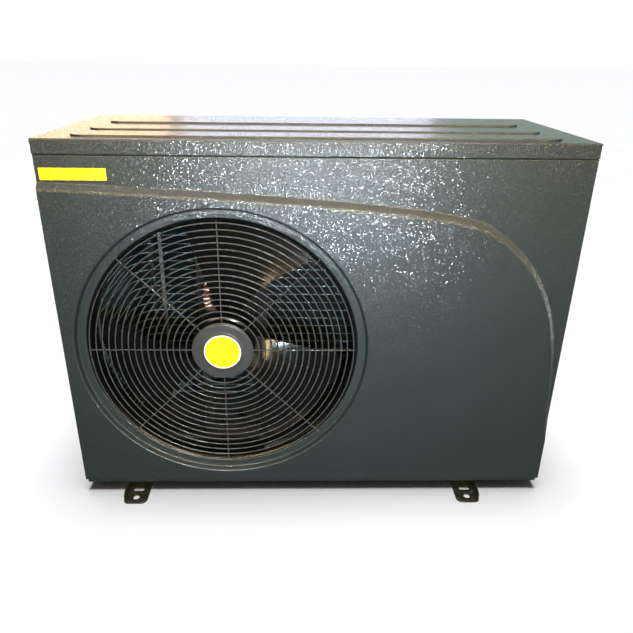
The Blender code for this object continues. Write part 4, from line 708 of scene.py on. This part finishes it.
# ---- Coil ------------------------------------------------------------------------------------------
def coil():
    """Thin fins on level tubes: a run along the left, a bend, and a run along the rear. The fins are
    drawn a little coarser than the real 1.8 mm so that they still read as fins."""
    low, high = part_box("coil_fins")
    rear = high.y
    bend_centre = Vector((low.x + COIL_THICK + COIL_BEND, rear - COIL_THICK - COIL_BEND, 0))
    shape = Shape()
    inset = 0.8 * MM

    def fin(one, other, slot):
        along = (other - one).normalized()
        side = Vector((-along.y, along.x, 0)) * FIN_SHEET / 2
        a, b = one + along * inset, other - along * inset
        corners = [a - side, b - side, b + side, a + side]
        shape.loft([[Vector((p.x, p.y, low.z)) for p in corners],
                    [Vector((p.x, p.y, high.z)) for p in corners]],
                   slot, True, (True, True))

    # The fins of the left run and the bend take slot 3, the darkened fins: painted shade.
    y = low.y + FIN_PITCH
    while y < bend_centre.y:
        fin(Vector((low.x, y, 0)), Vector((low.x + COIL_THICK, y, 0)), 3)
        y += FIN_PITCH
    turns = int((math.pi / 2 * (COIL_BEND + COIL_THICK / 2)) / FIN_PITCH)
    for number in range(turns + 1):
        angle = math.pi - math.pi / 2 * number / turns
        out = Vector((math.cos(angle), math.sin(angle), 0))
        fin(bend_centre + out * (COIL_BEND + COIL_THICK), bend_centre + out * COIL_BEND, 3)
    x = bend_centre.x + FIN_PITCH
    while x < high.x:
        fin(Vector((x, rear - COIL_THICK, 0)), Vector((x, rear, 0)), 0)
        x += FIN_PITCH
    # A black sheet down the middle of the block stops light passing through, in place of the shade that
    # staggered tubes and louvred fins make in a real coil: painted shade.
    core = COIL_THICK / 2
    path = [Vector((low.x + core, low.y + inset, 0))]
    for step in range(9):
        angle = math.pi - math.pi / 2 * step / 8
        path.append(bend_centre + Vector((math.cos(angle), math.sin(angle), 0)) * (COIL_BEND + core))
    path.append(Vector((high.x - inset, rear - core, 0)))
    shape.loft([[Vector((p.x, p.y, z)) for p in path] for z in (low.z + inset, high.z - inset)], 2, False)
    # Rows of tube collars, pale-coloured as a painted highlight so that they show as thin bright lines on
    # both faces of the block.
    rows = int((high.z - low.z) / TUBE_PITCH)
    for inward in (-0.1 * MM, COIL_THICK + 0.1 * MM):
        for number in range(rows):
            z = low.z + TUBE_PITCH * (number + 0.6)
            radius = COIL_BEND + inward + (COLLAR if inward < 0 else -COLLAR)
            centre = Vector((bend_centre.x, bend_centre.y, z))
            path = [Vector((centre.x - radius, low.y + 1 * MM, z))]
            for step in range(13):
                angle = math.pi - math.pi / 2 * step / 12
                path.append(centre + Vector((math.cos(angle), math.sin(angle), 0)) * radius)
            path.append(Vector((high.x - 1 * MM, centre.y + radius, z)))
            shape.wire(path, COLLAR, 1, 5)
    shape.piece("fin_block", [fin_blue, collars_painted_highlight, black_paint, fins_painted_shade], replaces=("coil_fins",),
                sharp=50)


def coil_strap():
    """A pressed steel strip that braces the coil's inner face where it runs out of the bend."""
    low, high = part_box("coil_fins")
    face = high.y - COIL_THICK
    x = low.x + COIL_THICK + COIL_BEND + 3 * MM
    shape = Shape()
    shape.block((x, face - 2.4 * MM, low.z), (x + STRAP_WIDTH, face - 1.2 * MM, high.z), 0, 0.4 * MM)
    shape.piece("coil_strap", galvanised, sharp=30, slot="galvanised")


def motor_leads():
    """The motor's leads: a dark red bundle laced with white cord that leaves the motor at its upper left."""
    low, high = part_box("fan_motor")
    start = Vector((fan_x - 34 * MM, low.y + 6 * MM, fan_z + 40 * MM))
    path = [start, start + Vector((-5, -1, 9)) * MM, start + Vector((-8, 0, 20)) * MM,
            start + Vector((-9, 4, 32)) * MM, start + Vector((-7, 12, 45)) * MM,
            start + Vector((-2, 30, 56)) * MM, Vector((fan_x - 20 * MM, high.y - 2 * MM, fan_z + 100 * MM))]
    shape = Shape()
    shape.wire(path, LEAD_RADIUS, 0, 12)
    for number in range(LEAD_RINGS):
        at = number * 0.62 + 0.4
        one, other = path[int(at)], path[int(at) + 1]
        centre = one.lerp(other, at - int(at))
        along = (other - one).normalized()
        shape.wire([centre - along * 1.2 * MM, centre + along * 1.2 * MM], LEAD_RADIUS + 0.7 * MM, 1, 12)
    shape.piece("motor_leads", [red_sleeve, white_cord], sharp=50, slot="rubber")


# ---- Feet ------------------------------------------------------------------------------------------
def foot(name, outer):
    """A bent strip under the unit: a floor plate with rounded edges, a hole and a slot at each end, an
    upright web on its outer side with rounded ends, and a flange that is screwed to the pan."""
    low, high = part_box(name)
    x, reach, width = (low.x + high.x) / 2, high.y, high.x - low.x
    shape = bmesh.new()
    levels = ((FOOT_EDGE, FOOT_SHEET), (0.3 * FOOT_EDGE, FOOT_SHEET - 0.3 * FOOT_EDGE),
              (0, FOOT_SHEET - FOOT_EDGE), (0, 0.3 * MM), (0.3 * MM, 0))
    cuts = [cut for cut, z in levels]
    loops = [[rounded(width - 2 * cut, 2 * (reach - cut), FOOT_CORNER - cut) for cut in cuts]]
    for end in (-1, 1):
        across, deep, inward = FOOT_SLOT
        hole = (0, end * (reach - FOOT_HOLE[1]))
        loops.append([[(p.x, p.z) for p in around(FOOT_HOLE[0] + cut, hole, 0, 32)] for cut in cuts])
        slots = [rounded(across + 2 * cut, deep + 2 * cut, deep / 2 + cut - 0.1 * MM) for cut in cuts]
        loops.append([[(a, b + end * (reach - inward)) for a, b in slot] for slot in slots])
    tops, bottoms = [], []
    for ring in loops:
        rows = []
        for points, (cut, z) in zip(ring, levels):
            rows.append([shape.verts.new((x + a, b, z)) for a, b in points])
        bridge(shape, rows)
        tops.append(rows[0])
        bottoms.append(rows[-1])
    fill(shape, tops)
    fill(shape, bottoms)
    bmesh.ops.recalc_face_normals(shape, faces=shape.faces)
    pressed(name + "_plate", shape, foot_enamel, (name,), 50)
    web = Shape()
    face = x + outer * width / 2
    span = reach - FOOT_CORNER
    edge = [(-span, 1 * MM), (span, 1 * MM)]
    for step in range(7):
        angle = math.pi / 2 * step / 6
        edge.append((span - WEB_CORNER + WEB_CORNER * math.cos(angle),
                     high.z - WEB_CORNER + WEB_CORNER * math.sin(angle)))
    edge += [(-y, z) for y, z in reversed(edge[2:])]
    loops = []
    for inset, cut in ((0, 0.6 * MM), (0.2 * MM, 0.2 * MM), (0.6 * MM, 0), (FOOT_SHEET - 0.6 * MM, 0),
                       (FOOT_SHEET - 0.2 * MM, 0.2 * MM), (FOOT_SHEET, 0.6 * MM)):
        loops.append([Vector((face - outer * inset, y * (1 - cut / span), z - cut * (z > FOOT_SHEET)))
                      for y, z in edge])
    web.loft(loops, 0, True, (True, True))
    flange_low, flange_high = sorted((face - outer * 1 * MM, face - outer * FOOT_FLANGE))
    web.block((flange_low, front + 4 * MM, high.z - FOOT_SHEET), (flange_high, rear_high.y - 4 * MM, high.z),
              0, 0.3 * MM)
    web.piece(name + "_web", foot_enamel, sharp=50, slot="foot_paint")


# ---- Coil grilles, screws and unions ---------------------------------------------------------------
def wire_grille(name):
    """A welded grille behind a window of the casing: a frame, close level wires, a few upright ones."""
    low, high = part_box(name)
    size = high - low
    sideways = size.x > size.y
    middle = (low + high) / 2
    length = size.x if sideways else size.y
    inward = -1 if sideways else 1

    def at(along, z, deep):
        if sideways:
            return Vector((low.x + along, middle.y + inward * deep, z))
        return Vector((middle.x + inward * deep, low.y + along, z))

    shape = Shape()
    frame_wire = [at(GRILLE_EDGE, low.z + GRILLE_EDGE, 0), at(length - GRILLE_EDGE, low.z + GRILLE_EDGE, 0),
                  at(length - GRILLE_EDGE, high.z - GRILLE_EDGE, 0), at(GRILLE_EDGE, high.z - GRILLE_EDGE, 0)]
    for one, other in zip(frame_wire, frame_wire[1:] + frame_wire[:1]):
        shape.wire([one, other], 1.5 * MM)
    rows = round((size.z - 2 * GRILLE_EDGE) / GRILLE_PITCH)
    for number in range(1, rows):
        z = low.z + GRILLE_EDGE + (size.z - 2 * GRILLE_EDGE) * number / rows
        shape.wire([at(GRILLE_EDGE, z, -0.6 * GRILLE_WIRE),
                    at(length - GRILLE_EDGE, z, -0.6 * GRILLE_WIRE)], GRILLE_WIRE)
    columns = max(2, round(length / (7 * GRILLE_PITCH)))
    for number in range(1, columns):
        along = GRILLE_EDGE + (length - 2 * GRILLE_EDGE) * number / columns
        shape.wire([at(along, low.z + GRILLE_EDGE, GRILLE_WIRE),
                    at(along, high.z - GRILLE_EDGE, GRILLE_WIRE)], GRILLE_WIRE)
    shape.piece(name + "_wires", guard_paint, replaces=(name,), sharp=50)


def casing_screws():
    """Pan-head screws with a recess, along the edges of the side panels and the rear."""
    shape = Shape()
    head = mm(((4.2, 0), (4.3, 0.5), (3.9, 1.2), (3.0, 1.7), (1.9, 1.85), (1.5, 1.2), (0.9, 0.9),
               (0.05, 0.9)))
    under_skirt = cover_low.z - SCREW_IN
    for name, side in (("left_panel", -1), ("left_top_panel", -1), ("right_panel", 1), ("service_panel", 1)):
        low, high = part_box(name)
        face = left if side < 0 else right
        for y in (low.y + SCREW_IN, high.y - SCREW_IN):
            for z in (low.z + SCREW_IN, under_skirt):
                if z < high.z:
                    shape.turn(head, (face, y, z), (side, 0, 0), 20)
    for x in (rear_low.x + SCREW_IN, (rear_low.x + rear_high.x) / 2, rear_high.x - SCREW_IN):
        for z in (rear_low.z + SCREW_IN, under_skirt):
            shape.turn(head, (x, rear_high.y, z), (0, 1, 0), 20)
    for share in (0.1, 0.5, 0.9):
        x = cover_low.x + (cover_high.x - cover_low.x) * share
        shape.turn(head, (x, cover_high.y, cover_low.z + SCREW_IN), (0, 1, 0), 20)
    shape.piece("casing_screws", zinc, sharp=35, slot="steel")


def union_nut(name, body):
    """A moulded nut with close round ribs and bevelled ends, over the flange of its tailpiece."""
    low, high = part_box(name)
    centre = Vector((low.x, (low.y + high.y) / 2, (low.z + high.z) / 2))
    outer, length = (high.z - low.z) / 2, high.x - low.x
    # Radius, place along the pipe, and how far the ribs stand out there.
    profile = [(NUT_BORE[1], 0, 0)]
    profile += [(outer + high_by * MM, along * MM, ribbed) for high_by, along, ribbed in (
        (-3.4, 0, 0), (-2.8, 0.6, 0.1), (-2.6, 3, 0.7), (-2.6, 4.5, 1))]
    profile += [(outer + high_by * MM, length + along * MM, ribbed) for high_by, along, ribbed in (
        (-2.6, -4.5, 1), (-2.6, -3, 0.7), (-2.8, -0.6, 0.1), (-3.6, 0, 0))]
    profile += [(NUT_BORE[0] + 0.6 * MM, length, 0), (NUT_BORE[0], length - 0.6 * MM, 0),
                (NUT_BORE[0], length - NUT_LIP, 0), (NUT_BORE[1], length - NUT_LIP, 0), (NUT_BORE[1], 0, 0)]
    loops = []
    for radius, along, ribbed in profile:
        loop = []
        for step in range(NUT_STEPS):
            angle = math.tau * step / NUT_STEPS
            reach = radius + ribbed * NUT_RIB * max(0.0, math.cos(NUT_RIBS * angle)) ** 0.6
            loop.append(centre + Vector((along, reach * math.cos(angle), reach * math.sin(angle))))
        loops.append(loop)
    shape = Shape()
    shape.loft(loops)
    shape.piece(name + "_ribbed", grey_pvc, body, (name,), 50)


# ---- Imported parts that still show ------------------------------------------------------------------
PARTS_IN = (
    (black_paint, "accumulator compressor fan_motor motor_bracket"),
    (coat, "base_pan left_panel left_top_panel rear_panel right_panel service_panel"),
    (polypropylene, "cable_gland drain_spout handle_left handle_right terminal_cover"),
    (galvanised, "coil_end_plate_left coil_end_plate_right electrical_box electrical_cover partition"),
    (copper, "coil_gas_pipe coil_header discharge_pipe exchanger_gas_pipe liquid_pipe "
             "return_bend suction_pipe"),
    (zinc, "compressor_bolt_1 compressor_bolt_2 compressor_bolt_3 fan_nut motor_shaft run_capacitor"),
    (rubber, "compressor_grommet_1 compressor_grommet_2 compressor_grommet_3"),
    (pale_plastic, "contactor"),
    (board_green, "control_board"),
    (grey_pvc, "exchanger_lid exchanger_vessel inlet_tailpiece outlet_tailpiece"),
    (brass, "expansion_valve reversing_valve"),
    (titanium, "titanium_coil"),
)


def dress_parts():
    """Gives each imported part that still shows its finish, and smooth shading across its round faces."""
    for finish, names in PARTS_IN:
        for name in names.split():
            data = nodes[name].data
            data.materials.clear()
            data.materials.append(finish)
            data.polygons.foreach_set("use_smooth", [True] * len(data.polygons))
            data.polygons.foreach_set("material_index", [0] * len(data.polygons))
            data.set_sharp_from_angle(angle=math.radians(32))


# ---- Stage -----------------------------------------------------------------------------------------
def floor_paper():
    """Plain pale paper. It looks white, and throws only little light back up at the machine."""
    paper = plain("floor_paper", "f4f4f4", 0.9, spread=0.01, size=400 * MM)
    tree = paper.node_tree
    shader = tree.nodes["Principled BSDF"]
    dim = add(tree, "ShaderNodeBsdfDiffuse", {}, {"Color": linear("4a4846")})
    path = add(tree, "ShaderNodeLightPath")
    mix = add(tree, "ShaderNodeMixShader", {},
              {0: path.outputs["Is Camera Ray"], 1: dim.outputs[0], 2: shader.outputs[0]})
    tree.links.new(mix.outputs[0], tree.nodes["Material Output"].inputs["Surface"])
    return paper


def stage():
    """A plain pale floor, soft studio light, one small lamp near the viewer, and the camera."""
    scene = bpy.context.scene
    scene.view_settings.view_transform = "Standard"
    world = bpy.data.worlds.new("studio")
    world.use_nodes = True
    tree = world.node_tree
    ambient = tree.nodes["Background"]
    ambient.inputs["Color"].default_value = linear("ffffff")
    ambient.inputs["Strength"].default_value = 0.09
    seen = add(tree, "ShaderNodeBackground", {}, {"Color": linear("ffffff"), "Strength": 1.05})
    path = add(tree, "ShaderNodeLightPath")
    mix = add(tree, "ShaderNodeMixShader", {},
              {0: path.outputs["Is Camera Ray"], 1: ambient.outputs[0], 2: seen.outputs[0]})
    tree.links.new(mix.outputs[0], tree.nodes["World Output"].inputs["Surface"])
    scene.world = world
    shape = bmesh.new()
    bmesh.ops.create_grid(shape, x_segments=8, y_segments=8, size=30)
    mesh = bpy.data.meshes.new("floor")
    shape.to_mesh(mesh)
    shape.free()
    floor = bpy.data.objects.new("floor", mesh)
    floor.location = (0, 10, 0)
    scene.collection.objects.link(floor)
    mesh.materials.append(floor_paper())
    # The lamps leave the floor out: only the overhead light and its shadow fall there.
    all_but_floor = bpy.data.collections.new("all_but_floor")
    all_but_floor.objects.link(floor)
    all_but_floor.collection_objects[0].light_linking.link_state = "EXCLUDE"

    def lamp(name, place, target, size, watts, colour):
        data = bpy.data.lights.new(name, "AREA")
        data.shape = "RECTANGLE"
        data.size, data.size_y = size
        data.energy = watts
        data.color = linear(colour)[:3]
        light = bpy.data.objects.new(name, data)
        light.location = place
        light.rotation_euler = (Vector(target) - Vector(place)).to_track_quat("-Z", "Y").to_euler()
        light.light_linking.receiver_collection = all_but_floor
        scene.collection.objects.link(light)

    lamp("near_lamp", (-0.03, -1.30, 0.60), (0.0, -0.2, 0.60), (0.12, 0.08), 21, "e6f5ff")
    lamp("warm_ceiling", (-0.1, -1.9, 2.6), (0.0, -0.2, 0.5), (4.2, 0.8), 22, "ffe3a6")
    lamp("front_strip", (0.0, -3.0, 1.75), (0.0, -0.2, 0.6), (4.6, 0.10), 150, "ffdca0")
    lamp("right_side", (2.6, -1.3, 1.5), (0.4, -0.2, 0.4), (1.2, 1.2), 14, "ffe6bd")
    lamp("rear_left", (-1.7, 3.0, 1.3), (-0.3, 0.0, 0.7), (1.6, 1.3), 24, "ffdcb4")
    lamp("rear_middle", (0.0, 3.2, 1.3), (0.0, 0.0, 0.7), (1.8, 1.3), 19, "eef2ff")
    lamp("low_right", (2.6, 0.5, 0.35), (0.4, 0.0, 0.35), (1.6, 0.6), 60, "f4f4f0")
    lamp("low_left", (-2.6, 0.5, 0.35), (-0.4, 0.0, 0.35), (1.6, 0.6), 60, "f4f4f0")
    lamp("low_rear", (0.0, 3.0, 0.35), (0.0, 0.2, 0.35), (3.0, 0.6), 90, "f4f4f0")
    lamp("rear_right", (1.7, 3.0, 1.3), (0.3, 0.0, 0.7), (1.6, 1.3), 5, "d4ecdc")
    sun = bpy.data.lights.new("overhead", "SUN")
    sun.energy = 3.35
    sun.angle = math.radians(24)
    sun.color = linear("fdfdff")[:3]
    overhead = bpy.data.objects.new("overhead", sun)
    overhead.location = (0, 0, 3)
    scene.collection.objects.link(overhead)

    data = bpy.data.cameras.new("view")
    data.sensor_width = 36
    data.lens = 34.15
    data.shift_x = 0.0049
    data.shift_y = -0.0022
    camera = bpy.data.objects.new("view", data)
    pitch, yaw, roll = math.radians(23.81), math.radians(1.49), math.radians(0.78)
    ahead = Vector((math.sin(yaw) * math.cos(pitch), math.cos(yaw) * math.cos(pitch), -math.sin(pitch)))
    level = Vector((math.cos(yaw), -math.sin(yaw), 0))
    above = level.cross(ahead)
    side = level * math.cos(roll) + above * math.sin(roll)
    up = above * math.cos(roll) - level * math.sin(roll)
    turn = Matrix((side, up, -ahead)).transposed()
    camera.matrix_world = Matrix.Translation((-0.05585, -1.2180, 0.8521)) @ turn.to_4x4()
    scene.collection.objects.link(camera)
    scene.camera = camera


dress_parts()
front_panel()
top_cover()
fan_guard()
guard_plate()
front_label()
fan()
shroud()
coil()
coil_strap()
motor_leads()
foot("foot_left", -1)
foot("foot_right", 1)
wire_grille("left_guard")
wire_grille("rear_guard")
casing_screws()
union_nut("inlet_union_nut", "inlet_nut")
union_nut("outlet_union_nut", "outlet_nut")
stage()

bpy.context.view_layer.update()
